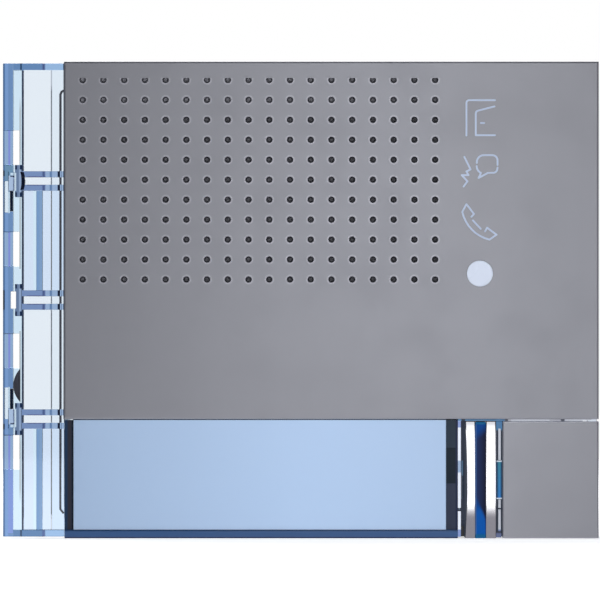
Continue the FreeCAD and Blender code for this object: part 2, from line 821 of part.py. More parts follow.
def key_body():
    """Clear rocker of the call key: base, support of the cap, switch pusher, stop flange and hinge lug."""
    base_y = (key_base_front, key_back)
    saddle_base_x = (saddle_x[0] - key_side_gap, cap_x[0] - key_side_gap)
    saddle_base = block(saddle_base_x, base_y, (key_z[0] + key_side_gap, key_z[1]))
    flange_x = (saddle_x[0] - key_flange_reach, saddle_x[0] + key_flange_length)
    flange_y = (key_back, key_back + key_flange_thickness)
    flange = block(flange_x, flange_y, span(key_centre_z, clip_length))
    cap_z = (key_z[0] + plate_rim_wall + fit_gap, key_z[1])
    cap_base = block((saddle_x[0], right - plate_rim_wall - fit_gap), base_y, cap_z)
    support_x = (cap_x[0] + 0.2, right - plate_rim_wall - fit_gap)
    support = block(support_x, (plate_back, key_base_front), grow(cap_z, -0.3))
    pusher = rod(switch_x, key_centre_z, pusher_radius, (key_back, plunger_front - plunger_play))
    gap_x = span(saddle_x[1] + gap_rib_from_saddle, gap_rib_width)
    gap_y = (key_base_front - gap_rib_height, key_base_front)
    gap_rib = block(gap_x, gap_y, (key_z[0] + gap_rib_end, key_z[1] - gap_rib_end))
    clip_z = grow(span(key_centre_z, clip_length), slide_gap)
    tick = block(grow(gap_x, 1), (gap_y[0] - 1, gap_y[0] + tick_depth), tick_z)
    gap_rib = gap_rib.cut([block(grow(gap_x, 1), gap_y, clip_z), tick])
    lower, upper = key_ear_spans()
    lug_z = (lower[1] + slide_gap, upper[0] - slide_gap)
    lug_neck = block(span(pin_x, 2 * key_ear_radius), (key_back, pin_y), lug_z)
    lug = upright(pin_x, pin_y, key_ear_radius, lug_z)
    solid = saddle_base.fuse([flange, cap_base, support, pusher, lug_neck, lug, gap_rib])
    bore = upright(pin_x, pin_y, key_pin_radius + key_pin_play, grow(lug_z, 1))
    light = block(slot_x, grow(base_y, 1), grow(key_z, -saddle_bridge))
    return solid.cut([bore, light]).removeSplitter()


def key_chrome():
    """Chrome saddle: two crowned bars, the outer one waisted, tied by a bridge at each end."""
    z = (key_z[0], key_z[1] - saddle_end_gap)
    corners = [Vec(saddle_x[0], face, z[0]), Vec(saddle_x[0], face, z[1])]
    waist = Vec(saddle_x[0] + saddle_waist, face, (z[0] + z[1]) / 2)
    inner = [Vec(slot_x[0], face, z[1]), Vec(slot_x[0], face, z[0])]
    outline = [
        Part.Arc(corners[0], waist, corners[1]).toShape(),
        Part.makeLine(corners[1], inner[0]),
        Part.makeLine(inner[0], inner[1]),
        Part.makeLine(inner[1], corners[0]),
    ]
    depth = key_base_front - face
    outer_bar = Part.Face(Part.Wire(outline)).extrude(Vec(0, depth, 0))
    inner_bar = block((slot_x[1], saddle_x[1]), (face, key_base_front), z)
    bars = []
    for bar in (outer_bar, inner_bar):
        front = [e for e in bar.Edges if e.BoundBox.YMax < face + 0.01 and e.BoundBox.ZLength > 1]
        bars.append(bar.makeFillet(saddle_crown, front).common(saddle_side(z)))
    bridge_y = (key_base_front - saddle_bridge_thickness, key_base_front)
    bridges = [block(grow(slot_x, 0.5), bridge_y, (end, end + saddle_bridge - 0.4)) for end in
               (z[0], z[1] - saddle_bridge + 0.4)]
    return join(bars[0], bars[1], *bridges)


def saddle_side(z):
    """Side outline of the saddle, falling back in an arc at the lower end and a little at the upper end."""
    low_start = z[0] + saddle_fall_length
    high_start = z[1] - saddle_top_fall_length
    low_end = Vec(0, face + saddle_fall, z[0])
    low_middle = Vec(0, face + saddle_fall / 4, (z[0] + low_start) / 2)
    top_face = face + saddle_top_fall
    edges = [
        Part.Arc(low_end, low_middle, Vec(0, face, low_start)).toShape(),
        Part.makeLine(Vec(0, face, low_start), Vec(0, face, high_start)),
        Part.makeLine(Vec(0, face, high_start), Vec(0, top_face, z[1])),
        Part.makeLine(Vec(0, top_face, z[1]), Vec(0, key_base_front, z[1])),
        Part.makeLine(Vec(0, key_base_front, z[1]), Vec(0, key_base_front, z[0])),
        Part.makeLine(Vec(0, key_base_front, z[0]), low_end),
    ]
    side = Part.Face(Part.Wire(edges)).extrude(Vec(saddle_width + 2, 0, 0))
    side.translate(Vec(saddle_x[0] - 1, 0, 0))
    return side


def key_light_guide():
    """Blue light guide in the slot of the saddle, reaching back through the rocker."""
    head_y = (face + key_light_set_back, key_base_front - saddle_bridge_thickness)
    head = block(slot_x, head_y, (key_z[0], key_z[1] - saddle_end_gap))
    stem = block(slot_x, (head_y[0], key_back), grow(key_z, -saddle_bridge))
    return join(head, stem)


def key_cap():
    """Grey cap of the call key, with a rim along its right and bottom edge."""
    solid = block(cap_x, (face, rim_back), key_z)
    front_edges = [e for e in solid.Edges if e.BoundBox.YMax < face + 0.01]
    solid = solid.makeFillet(plate_edge_radius, front_edges)
    hollow_z = (key_z[0] + plate_rim_wall, key_z[1] + 1)
    return solid.cut(block((cap_x[0] - 1, right - plate_rim_wall), (plate_back, rim_back + 1), hollow_z))


def saddle_clip():
    """Blue clip seen in the gap between the saddle and the cap."""
    x = span(saddle_x[1] + cap_gap / 2, clip_width)
    return block(x, (key_base_front - clip_height, key_base_front), span(key_centre_z, clip_length))


def key_hinge_pin():
    """Steel pin through both ears and the lug."""
    lower, upper = key_ear_spans()
    return upright(pin_x, pin_y, key_pin_radius, (lower[0], upper[1]))


def key_leaf_spring():
    """Leaf spring between the housing and the rocker: foot, rising arm and contact pad."""
    foot_x = slot_x[1] + leaf_length
    rest = key_back + leaf_thickness
    points = [
        (foot_x + leaf_foot, shell_face),
        (foot_x + leaf_foot, shell_face - leaf_thickness),
        (foot_x, shell_face - leaf_thickness),
        (slot_x[1] + leaf_foot, rest - leaf_thickness),
        (slot_x[1], rest - leaf_thickness),
        (slot_x[1], rest),
        (slot_x[1] + leaf_foot, rest),
        (foot_x, shell_face),
    ]
    low = key_centre_z + leaf_offset - leaf_width / 2
    corners = [Vec(x, y, low) for x, y in points]
    return Part.Face(Part.makePolygon(corners + corners[:1])).extrude(Vec(0, 0, leaf_width))


def speaker_gasket():
    """Foam ring between the deck and the housing round the loudspeaker."""
    ring = rod(speaker_x, speaker_z, speaker_radius, (deck_back, shell_face))
    return ring.cut(rod(speaker_x, speaker_z, speaker_opening, (deck_back - 1, shell_face + 1)))


def speaker_basket():
    """Flange and conical basket of the loudspeaker, with six windows."""
    flange_back = shell_inside + speaker_flange
    neck_front = shell_inside + speaker_basket_depth
    neck_back = neck_front + speaker_flange
    profile = [
        (speaker_opening, shell_inside),
        (speaker_radius, shell_inside),
        (speaker_radius, flange_back),
        (speaker_opening, flange_back),
        (speaker_neck_radius, neck_back),
        (coil_radius + 2 * coil_clearance, neck_back),
        (coil_radius + 2 * coil_clearance, neck_front),
        (speaker_neck_radius - speaker_basket_wall, neck_front),
        (speaker_opening - speaker_basket_wall, flange_back),
        (speaker_opening - speaker_basket_wall, shell_inside),
    ]
    basket = turned(profile, speaker_x, speaker_z)
    middle = (speaker_neck_radius + speaker_opening) / 2
    window_y = (flange_back + 1.2, neck_front - 0.6)
    cuts = []
    for turn in range(6):
        angle = math.radians(60 * turn)
        place = (speaker_x + middle * math.cos(angle), speaker_z + middle * math.sin(angle))
        cuts.append(rod(place[0], place[1], 2.4, window_y))
    return basket.cut(cuts)


def cone_front():
    """Front plane of the cone's rim, behind the flange's front."""
    return shell_inside + speaker_flange / 2


def speaker_surround():
    """Half-roll surround between the basket and the cone."""
    outer = speaker_opening - speaker_basket_wall
    mid = (outer + cone_radius) / 2
    y = cone_front()
    bend = cone_wall
    profile = [
        (cone_radius, y),
        (mid, y - surround_roll / 2),
        (outer, y),
        (outer, y + bend),
        (mid, y + bend - surround_roll / 2),
        (cone_radius, y + bend),
    ]
    return turned(profile, speaker_x, speaker_z)


def speaker_cone():
    """Paper cone with its dust cap."""
    y = cone_front()
    neck = coil_radius
    dome = cone_depth / 2
    profile = [
        (0, y + cone_depth - dome),
        (neck * 0.6, y + cone_depth - dome * 0.8),
        (neck, y + cone_depth - cone_wall),
        (cone_radius, y),
        (cone_radius, y + cone_wall),
        (neck, y + cone_depth),
        (neck * 0.6, y + cone_depth - dome * 0.8 + cone_wall),
        (0, y + cone_depth - dome + cone_wall),
    ]
    return turned(profile, speaker_x, speaker_z)


def voice_coil():
    """Coil former behind the cone, in the gap of the magnet."""
    y = cone_front() + cone_depth
    tube = rod(speaker_x, speaker_z, coil_radius, (y, y + coil_length))
    return tube.cut(rod(speaker_x, speaker_z, coil_radius - coil_wall, (y - 1, y + coil_length + 1)))


def speaker_magnet():
    """Magnet with its pole and the ring gap for the coil."""
    y = shell_inside + speaker_basket_depth + speaker_flange
    body = rod(speaker_x, speaker_z, magnet_radius, (y, y + magnet_length))
    gap_end = cone_front() + cone_depth + coil_length + cone_travel + coil_clearance
    gap = rod(speaker_x, speaker_z, coil_radius + coil_clearance, (y - 1, gap_end))
    pole = rod(speaker_x, speaker_z, coil_radius - coil_wall - coil_clearance, (y - 1, gap_end))
    return body.cut(gap.cut(pole))


def mic_boot():
    """Rubber boot that seals the microphone against the deck and stands on the main board."""
    outer = rod(mic_x, mic_z, mic_radius + mic_boot_wall, (deck_back, board_front))
    port = rod(mic_x, mic_z, mic_port_radius, (deck_back - 1, deck_back + 2))
    seat = rod(mic_x, mic_z, mic_radius, (deck_back + 0.6, deck_back + 0.6 + mic_length))
    return outer.cut([port, seat])


def mic_capsule():
    """Electret capsule in its boot."""
    return rod(mic_x, mic_z, mic_radius, (deck_back + 0.6, deck_back + 0.6 + mic_length))


def label_diffuser():
    """Opal light guide behind the name label."""
    return block(window_x, (diffuser_face, ledge_face), window_z)


def name_label():
    """Blank label film."""
    return block(window_x, (label_face, diffuser_face), window_z)


def shell_screw_places():
    """Corner screws of the housing."""
    xs = (shell_x[0] + shell_screw_inset, shell_x[1] - shell_screw_inset)
    zs = (shell_z[0] + shell_screw_inset, shell_z[1] - shell_screw_inset)
    return [(x, z) for x in xs for z in zs]


def label_led_places():
    """Places of the lamps behind the name window, spread about its middle."""
    pitch = (window_x[1] - window_x[0]) / label_led_count
    centre_z = (window_z[0] + window_z[1]) / 2
    return [(window_x[0] + pitch * (n + 0.5), centre_z) for n in range(label_led_count)]


def board_screw_places():
    """Screws of the main board: three near its right and left edge, and one beside the loudspeaker."""
    xs = (shell_x[0] + board_screw_inset, shell_x[1] - board_screw_inset)
    low, high = key_row_top + board_screw_from_row, row_lines[-1] - board_screw_from_row
    beside = (speaker_x + speaker_radius + board_screw_from_speaker, shell_z[1] - board_screw_from_top)
    return [(xs[0], low), (xs[1], low), (xs[1], high), beside]


def front_shell():
    """Front half of the housing: tray open to the back, with bosses, openings and snap lugs."""
    solid = rounded(shell_x, (shell_face, shell_joint), shell_z, shell_corner)
    hollow_x, hollow_z = grow(shell_x, -shell_wall), grow(shell_z, -shell_wall)
    solid = solid.cut(block(hollow_x, (shell_inside, shell_joint + 1), hollow_z))
    pieces = [rod(x, z, screw_boss_radius, (shell_face, shell_joint)) for x, z in shell_screw_places()]
    pieces += [rod(x, z, board_boss_radius, (shell_face, board_front)) for x, z in board_screw_places()]
    for x in (shell_x[0] + row_pitch, shell_x[1] - row_pitch):
        for z in ((shell_z[1] - 0.5, inner_top), (-inner_top, shell_z[0] + 0.5)):
            pieces.append(block(span(x, snap_lug_width), (-snap_lug_depth, 0), z))
    solid = solid.fuse(pieces)
    through = (shell_face - 1, shell_inside + 1)
    cuts = [rod(speaker_x, speaker_z, speaker_opening, through)]
    cuts.append(rod(mic_x, mic_z, mic_radius + mic_boot_wall + slide_gap, through))
    cuts.append(rod(icon_centre_x, sensor_z, sensor_radius + slide_gap, through))
    for centre_z, height in icon_places():
        guide_x = grow(span(icon_centre_x, icon_guide_width), slide_gap)
        cuts.append(block(guide_x, through, grow(span(centre_z, height), slide_gap)))
    cuts.append(block(grow(window_x, -2 * window_ledge), through, grow(window_z, -2 * window_ledge)))
    cuts.append(block(slot_x, through, span(key_centre_z, led_depth)))
    switch_hole = switch_size + 4 * slide_gap
    cuts.append(block(span(switch_x, switch_hole), through, span(key_centre_z, switch_hole)))
    screw_start = shell_joint - shell_screw_bite
    cuts += [rod(x, z, screw_radius, (screw_start, shell_joint + 1)) for x, z in shell_screw_places()]
    board_screw_start = board_front - board_screw_bite
    cuts += [rod(x, z, screw_radius, (board_screw_start, board_front + 1)) for x, z in board_screw_places()]
    return solid.cut(cuts).removeSplitter()


def shell_gasket():
    """Flat seal between the two halves of the housing."""
    y = (shell_joint, rear_start)
    ring = rounded(shell_x, y, shell_z, shell_corner)
    ring = ring.cut(block(grow(shell_x, -shell_wall), grow(y, 1), grow(shell_z, -shell_wall)))
    pads = [rod(x, z, screw_boss_radius, y) for x, z in shell_screw_places()]
    holes = [rod(x, z, screw_radius + slide_gap, grow(y, 1)) for x, z in shell_screw_places()]
    return ring.fuse(pads).cut(holes).removeSplitter()


def socket_row():
    """X limits of the sockets in the rear row, with equal gaps: terminal, two link sockets, configurator."""
    terminal_width = terminal_ways * terminal_pitch + 2 * terminal_wall
    configurator_width = configurator_ways * configurator_pitch + configurator_end
    widths = [terminal_width, link_width, link_width, configurator_width]
    clear = shell_screw_inset + screw_boss_radius
    start, end = shell_x[0] + clear, shell_x[1] - clear
    gap = (end - start - sum(widths)) / (len(widths) + 1)
    limits = []
    for width in widths:
        start += gap
        limits.append((start, start + width))
        start += width
    return limits


def middle(limits):
    """Centre between two limits."""
    return (limits[0] + limits[1]) / 2


def terminal_limits():
    """Outline of the terminal socket in X and Z."""
    return socket_row()[0], span(socket_row_z, terminal_height)


def link_columns():
    """X of each link socket."""
    return [middle(limits) for limits in socket_row()[1:3]]


def configurator_limits():
    """Outline of the configurator socket in X and Z."""
    return socket_row()[3], span(socket_row_z, configurator_height)


def rear_openings():
    """Openings of the rear wall for the sockets, the volume rotors and the program button."""
    through = (rear_inside - 1, rear_face + 1)
    outlines = [terminal_limits(), configurator_limits()]
    outlines += [(span(x, link_width), span(socket_row_z, link_height)) for x in link_columns()]
    outlines.append((span(service_x, service_width), span(control_row_z, service_height)))
    cuts = [block(grow(x, slide_gap), through, grow(z, slide_gap)) for x, z in outlines]
    cuts += [rod(x, control_row_z, rotor_radius + rear_hole_gap, through) for x in trimmer_x]
    cuts.append(rod(program_x, program_z, program_button_radius + rear_hole_gap, through))
    return cuts


def rear_shell():
    """Rear half of the housing: tray open to the front, with screw pillars, board posts and openings."""
    solid = rounded(shell_x, (rear_start, rear_face), shell_z, shell_corner)
    hollow_x, hollow_z = grow(shell_x, -shell_wall), grow(shell_z, -shell_wall)
    solid = solid.cut(block(hollow_x, (rear_start - 1, rear_inside), hollow_z))
    rear_edges = [e for e in solid.Edges if e.BoundBox.YMin > rear_face - 0.01]
    solid = solid.makeFillet(0.8, rear_edges)
    pillars = [rod(x, z, screw_boss_radius, (rear_start, rear_face - 1.0)) for x, z in shell_screw_places()]
    posts = [rod(x, z, board_boss_radius, (bus_back, rear_inside)) for x, z in bus_post_places()]
    solid = solid.fuse(pillars + posts)
    head_seat = rear_face - shell_screw_sink - screw_head_height
    cuts = rear_openings() + rear_recesses()
    for x, z in shell_screw_places():
        cuts.append(rod(x, z, screw_radius + slide_gap, (rear_start - 1, rear_face + 1)))
        cuts.append(rod(x, z, screw_head_radius + slide_gap, (head_seat, rear_face + 1)))
    return solid.cut(cuts).removeSplitter()


def rear_recesses():
    """Shallow bay round the row of sockets, and a bare recess for a label."""
    sockets = socket_row()
    bay_x = grow((sockets[0][0], sockets[-1][1]), bay_margin)
    bay_z = grow(span(socket_row_z, terminal_height), bay_margin)
    label_left = shell_x[0] + label_recess_from_left
    label_x = (label_left, label_left + label_recess_size[0])
    label_top = top - label_recess_from_top
    label_z = (label_top - label_recess_size[1], label_top)
    bay = rounded(bay_x, (rear_face - bay_depth, rear_face + 1), bay_z, recess_corner)
    label = rounded(label_x, (rear_face - label_recess_depth, rear_face + 1), label_z, recess_corner)
    return [bay, label]


def bus_post_places():
    """Posts of the rear shell that the bus board rests on."""
    inset = board_boss_radius + board_edge_gap
    low, high = board_x[0] + inset, board_x[1] - inset
    return [(low, 0), (high, -row_pitch / 2), (speaker_x, board_z[1] - inset)]


def main_board():
    """Circuit board behind the front, cut round the loudspeaker and the screw pillars."""
    solid = block(board_x, (board_front, board_back), board_z)
    through = (board_front - 1, board_back + 1)
    cuts = [rod(speaker_x, speaker_z, speaker_radius, through)]
    cuts += [rod(x, z, screw_boss_radius + fit_gap, through) for x, z in shell_screw_places()]
    cuts += [rod(x, z, screw_radius + slide_gap, through) for x, z in board_screw_places()]
    return solid.cut(cuts)


def bus_board():
    """Circuit board at the back that carries the sockets and controls."""
    solid = block(board_x, (bus_front, bus_back), board_z)
    through = (bus_front - 1, bus_back + 1)
    return solid.cut([rod(x, z, screw_boss_radius + fit_gap, through) for x, z in shell_screw_places()])


def board_header():
    """Pin header that joins the two boards."""
    start = inductor_column() + inductor_radius + header_from_inductor
    return block((start, start + header_length), (board_back, bus_front), span(parts_row_z, header_width))


def lamps(places):
    """Group of like lamps on the front of the main board."""
    y = (board_front - led_height, board_front)
    return Part.makeCompound([block(span(x, led_width), y, span(z, led_depth)) for x, z in places])


def light_sensor():
    """Sensor chip behind the pale window."""
    y = (board_front - led_height, board_front)
    return block(span(icon_centre_x, led_depth), y, span(sensor_z, led_depth))


def chip(place, size):
    """Flat chip on the back of the main board."""
    x, z = place
    return block(span(x, size), (board_back, board_back + processor_height), span(z, size))


def screw(x, z, head_back, reach):
    """Pan-head screw with a cross recess, driven from the back."""
    head_front = head_back - screw_head_height
    head = rod(x, z, screw_head_radius, (head_front, head_back))
    head = head.makeFillet(0.5, [e for e in head.Edges if e.BoundBox.YMin > head_back - 0.01])
    shank = rod(x, z, screw_radius, (head_front - reach, head_front))
    recess = (head_back - 0.8, head_back + 1)
    cross = [block(span(x, 2.2), recess, span(z, 0.5)), block(span(x, 0.5), recess, span(z, 2.2))]
    return head.fuse(shank).cut(cross).removeSplitter()


def shell_screws():
    """Four screws that close the housing."""
    head_back = rear_face - shell_screw_sink
    reach = head_back - screw_head_height - (shell_joint - shell_screw_bite)
    return Part.makeCompound([screw(x, z, head_back, reach) for x, z in shell_screw_places()])


def board_screws():
    """Four screws that hold the main board on its bosses."""
    head_back = board_back + screw_head_height
    reach = board_thickness + board_screw_bite
    return Part.makeCompound([screw(x, z, head_back, reach) for x, z in board_screw_places()])


def bus_capacitors():
    """Two electrolytic capacitors on the front of the bus board."""
    cans = []
    for x in capacitor_columns():
        can = rod(x, parts_row_z, capacitor_radius, (bus_front - capacitor_length, bus_front))
        cans.append(can.makeFillet(0.5, [e for e in can.Edges if e.BoundBox.YMax < bus_front - 1]))
    return Part.makeCompound(cans)


def capacitor_columns():
    """X of each capacitor, counted from the left edge of the board."""
    return [board_x[0] + capacitor_from_edge + capacitor_pitch * n for n in range(2)]


def inductor_column():
    """X of the inductor, counted from the last capacitor."""
    return capacitor_columns()[-1] + inductor_from_capacitor


def bus_inductor():
    """Drum inductor on the front of the bus board, beside the capacitors."""
    x, z = inductor_column(), parts_row_z
    drum = rod(x, z, inductor_radius, (bus_front - inductor_height, bus_front))
    waist_y = (bus_front - inductor_height + 1.0, bus_front - 1.0)
    waist = rod(x, z, inductor_radius + 1, waist_y).cut(rod(x, z, inductor_radius - 0.6, waist_y))
    return drum.cut(waist)


def key_switch_body():
    """Push switch under the call key."""
    solid = block(span(switch_x, switch_size), (switch_front, board_front), span(key_centre_z, switch_size))
    bore_y = (switch_front - 1, plunger_front + plunger_length + plunger_travel + plunger_end_gap)
    return solid.cut(rod(switch_x, key_centre_z, plunger_radius + plunger_play, bore_y))


def key_switch_plunger():
    """Plunger of the push switch."""
    return rod(switch_x, key_centre_z, plunger_radius, (plunger_front, plunger_front + plunger_length))


def terminal_way_places():
    """X of each way of the terminal."""
    centre = middle(socket_row()[0])
    offset = (terminal_ways - 1) / 2
    return [centre + (n - offset) * terminal_pitch for n in range(terminal_ways)]


def terminal_socket():
    """Socket of the pluggable bus terminal, with its pins."""
    x, z = terminal_limits()
    solid = block(x, (bus_back, rear_face), z)
    cavity_start = rear_face - plug_engagement - plug_play
    solid = solid.cut(block(grow(x, -terminal_wall), (cavity_start, rear_face + 1), grow(z, -terminal_wall)))
    pin_y = (cavity_start - 0.5, rear_face - 2.0)
    return solid.fuse([rod(way, socket_row_z, terminal_pin_radius, pin_y) for way in terminal_way_places()])


def terminal_plug():
    """Pull-out plug with wire entries from below and clamp screws at the back."""
    x, z = terminal_limits()
    inner_x, inner_z = grow(x, -terminal_wall - plug_play), grow(z, -terminal_wall - plug_play)
    front = block(inner_x, (rear_face - plug_engagement, rear_face), inner_z)
    back = block(x, (rear_face + plug_play, rear_face + plug_overhang), z)
    neck = block(inner_x, (rear_face - 0.5, rear_face + 1.0), inner_z)
    solid = front.fuse([back, neck])
    wire_y = rear_face + plug_overhang / 2
    screw_y = (clamp_screw_start(), rear_face + plug_overhang + 1)
    cuts = []
    for way in terminal_way_places():
        pin_bore = terminal_pin_radius + 0.2
        cuts.append(rod(way, socket_row_z, pin_bore, (rear_face - plug_engagement - 1, rear_face - 1.5)))
        cuts.append(upright(way, wire_y, wire_radius, (z[0] - 1, socket_row_z)))
        cuts.append(rod(way, socket_row_z, clamp_screw_radius, screw_y))
    return solid.cut(cuts).removeSplitter()


def clamp_screw_start():
    """Front end of the clamp screws."""
    return rear_face + plug_overhang - clamp_screw_length


def terminal_screws():
    """Slotted clamp screws in the back of the plug."""
    heads = []
    end = rear_face + plug_overhang - clamp_screw_sink
    slot_y = (end - clamp_slot_depth, end + 1)
    slot_z = span(socket_row_z, 2 * clamp_screw_radius + 1)
    for way in terminal_way_places():
        head = rod(way, socket_row_z, clamp_screw_radius, (clamp_screw_start(), end))
        heads.append(head.cut(block(span(way, clamp_slot_width), slot_y, slot_z)))
    return Part.makeCompound(heads)


def link_sockets():
    """Two sockets for the flat cables to the neighbouring modules, each with a row of pins."""
    sockets = []
    for x in link_columns():
        solid = block(span(x, link_width), (bus_back, rear_face), span(socket_row_z, link_height))
        cavity_y = (bus_back + socket_floor, rear_face + 1)
        cavity_z = span(socket_row_z, link_cavity_height)
        solid = solid.cut(block(span(x, link_width - 2 * link_wall), cavity_y, cavity_z))
        pitch = (link_width - 2 * link_wall) / (link_pins + 1)
        pins = []
        for n in range(link_pins):
            pin_x_centre = x + (n - (link_pins - 1) / 2) * pitch
            pin_y_limits = (bus_back + socket_floor - pin_root, rear_face - pin_set_back)
            pins.append(block(span(pin_x_centre, pin_width), pin_y_limits, span(socket_row_z, pin_width)))
        sockets.append(solid.fuse(pins))
    return Part.makeCompound(sockets)


def configurator_socket():
    """Comb of slots for the small configuration jumpers."""
    x, z = configurator_limits()
    solid = block(x, (bus_back, rear_face), z)
    cuts = []
    for n in range(configurator_ways):
        centre = middle(x) + (n - (configurator_ways - 1) / 2) * configurator_pitch
        slot_y = (bus_back + socket_floor, rear_face + 1)
        slot_z = span(socket_row_z, configurator_slot_height)
        cuts.append(block(span(centre, configurator_slot_width), slot_y, slot_z))
    return solid.cut(cuts)


def service_socket():
    """Small metal socket for service access."""
    x, z = span(service_x, service_width), span(control_row_z, service_height)
    solid = rounded(x, (bus_back, rear_face), z, service_corner)
    inner_y = (bus_back + 2 * service_wall, rear_face + 1)
    inner = rounded(grow(x, -service_wall), inner_y, grow(z, -service_wall), service_corner - service_wall)
    tongue_y = (bus_back + service_wall, rear_face - service_tongue_set_back)
    tongue_x = span(service_x, service_tongue_width)
    tongue = block(tongue_x, tongue_y, span(control_row_z, service_tongue_thickness))
    return solid.cut(inner).fuse(tongue)


def trimmer_bodies():
    """Bodies of the two volume trimmers on the bus board."""
    bodies = []
    body_y = (bus_back, bus_back + trimmer_height)
    bore_y = (bus_back + control_floor, body_y[1] + 1)
    for x in trimmer_x:
        body = block(span(x, trimmer_size), body_y, span(control_row_z, trimmer_size))
        bodies.append(body.cut(rod(x, control_row_z, rotor_radius + rotor_play, bore_y)))
    return Part.makeCompound(bodies)


def volume_rotor(x):
    """Turning screw of a volume trimmer, with a driver slot."""
    end = rear_face - rear_set_back
    rotor = rod(x, control_row_z, rotor_radius, (bus_back + control_floor + rotor_play, end))
    slot_y = (end - rotor_slot_depth, end + 1)
    return rotor.cut(block(span(x, 2 * rotor_radius + 1), slot_y, span(control_row_z, rotor_slot_width)))


def program_switch():
    """Switch body of the program button."""
    body_y = (bus_back, bus_back + switch_height)
    solid = block(span(program_x, switch_size), body_y, span(program_z, switch_size))
    bore_y = (bus_back + control_floor, body_y[1] + 1)
    return solid.cut(rod(program_x, program_z, program_button_radius + plunger_play, bore_y))


def program_button():
    """Button pressed from the back to start programming."""
    front = bus_back + control_floor + program_travel + plunger_end_gap
    return rod(program_x, program_z, program_button_radius, (front, rear_face - rear_set_back))


trim_left_x = (plate_left + 0.1, window_x[0])
trim_right_x = (window_x[1], post_x[0])
icon_led_places = [(icon_centre_x, centre_z) for centre_z, height in icon_places()]

nodes = {
    "front_plate": front_plate(),
    "front_carrier": front_carrier(),
    "hook_springs": hook_springs(),
    "edge_bumper": edge_bumper(),
    "name_window": name_window(),
    "window_trim_left": window_trim(trim_left_x),
    "window_trim_right": window_trim(trim_right_x),
    "bottom_rail": bottom_rail(),
    "name_label": name_label(),
    "label_diffuser": label_diffuser(),
    "key_body": key_body(),
    "key_chrome": key_chrome(),
    "key_light_guide": key_light_guide(),
    "key_cap": key_cap(),
    "saddle_clip": saddle_clip(),
    "key_hinge_pin": key_hinge_pin(),
    "key_leaf_spring": key_leaf_spring(),
    "key_switch_body": key_switch_body(),
    "key_switch_plunger": key_switch_plunger(),
    "key_led": lamps([(slot_centre, key_centre_z)]),
    "door_icon_guide": icon_guide(door_lines(), door_icon_z, door_icon_height),
    "talk_icon_guide": icon_guide(talk_lines(), talk_icon_z, talk_icon_height),
    "handset_icon_guide": icon_guide(handset_lines(), handset_icon_z, handset_icon_height),
    "sensor_lens": sensor_lens(),
    "speaker_mesh": speaker_mesh(),
    "speaker_gasket": speaker_gasket(),
    "speaker_basket": speaker_basket(),
    "speaker_surround": speaker_surround(),
    "speaker_cone": speaker_cone(),
    "voice_coil": voice_coil(),
    "speaker_magnet": speaker_magnet(),
    "mic_boot": mic_boot(),
    "mic_capsule": mic_capsule(),
    "main_board": main_board(),
    "icon_leds": lamps(icon_led_places),
    "label_leds": lamps(label_led_places()),
    "light_sensor": light_sensor(),
    "processor_chip": chip((icon_centre_x, sensor_z), processor_size),
    "audio_chip": chip((speaker_x + speaker_radius + audio_chip_from_speaker, speaker_z), audio_chip_size),
    "board_screws": board_screws(),
    "front_shell": front_shell(),
    "shell_gasket": shell_gasket(),
    "rear_shell": rear_shell(),
    "shell_screws": shell_screws(),
    "bus_board": bus_board(),
    "board_header": board_header(),
    "bus_capacitors": bus_capacitors(),
    "bus_inductor": bus_inductor(),
    "terminal_socket": terminal_socket(),
    "terminal_plug": terminal_plug(),
    "terminal_screws": terminal_screws(),
    "link_sockets": link_sockets(),
    "configurator_socket": configurator_socket(),
    "service_socket": service_socket(),
    "trimmer_bodies": trimmer_bodies(),
    "speaker_volume_rotor": volume_rotor(trimmer_x[0]),
    "mic_volume_rotor": volume_rotor(trimmer_x[1]),
    "program_switch": program_switch(),
    "program_button": program_button(),
}

os.makedirs("parts", exist_ok=True)
for name, shape in nodes.items():
    shape.exportStep("parts/" + name + ".step")
    print(name, len(shape.Solids), shape.isValid(), round(shape.Volume, 2))
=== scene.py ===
"""Door intercom module: finishes, softened shapes, relief marks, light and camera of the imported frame."""

import json
import math

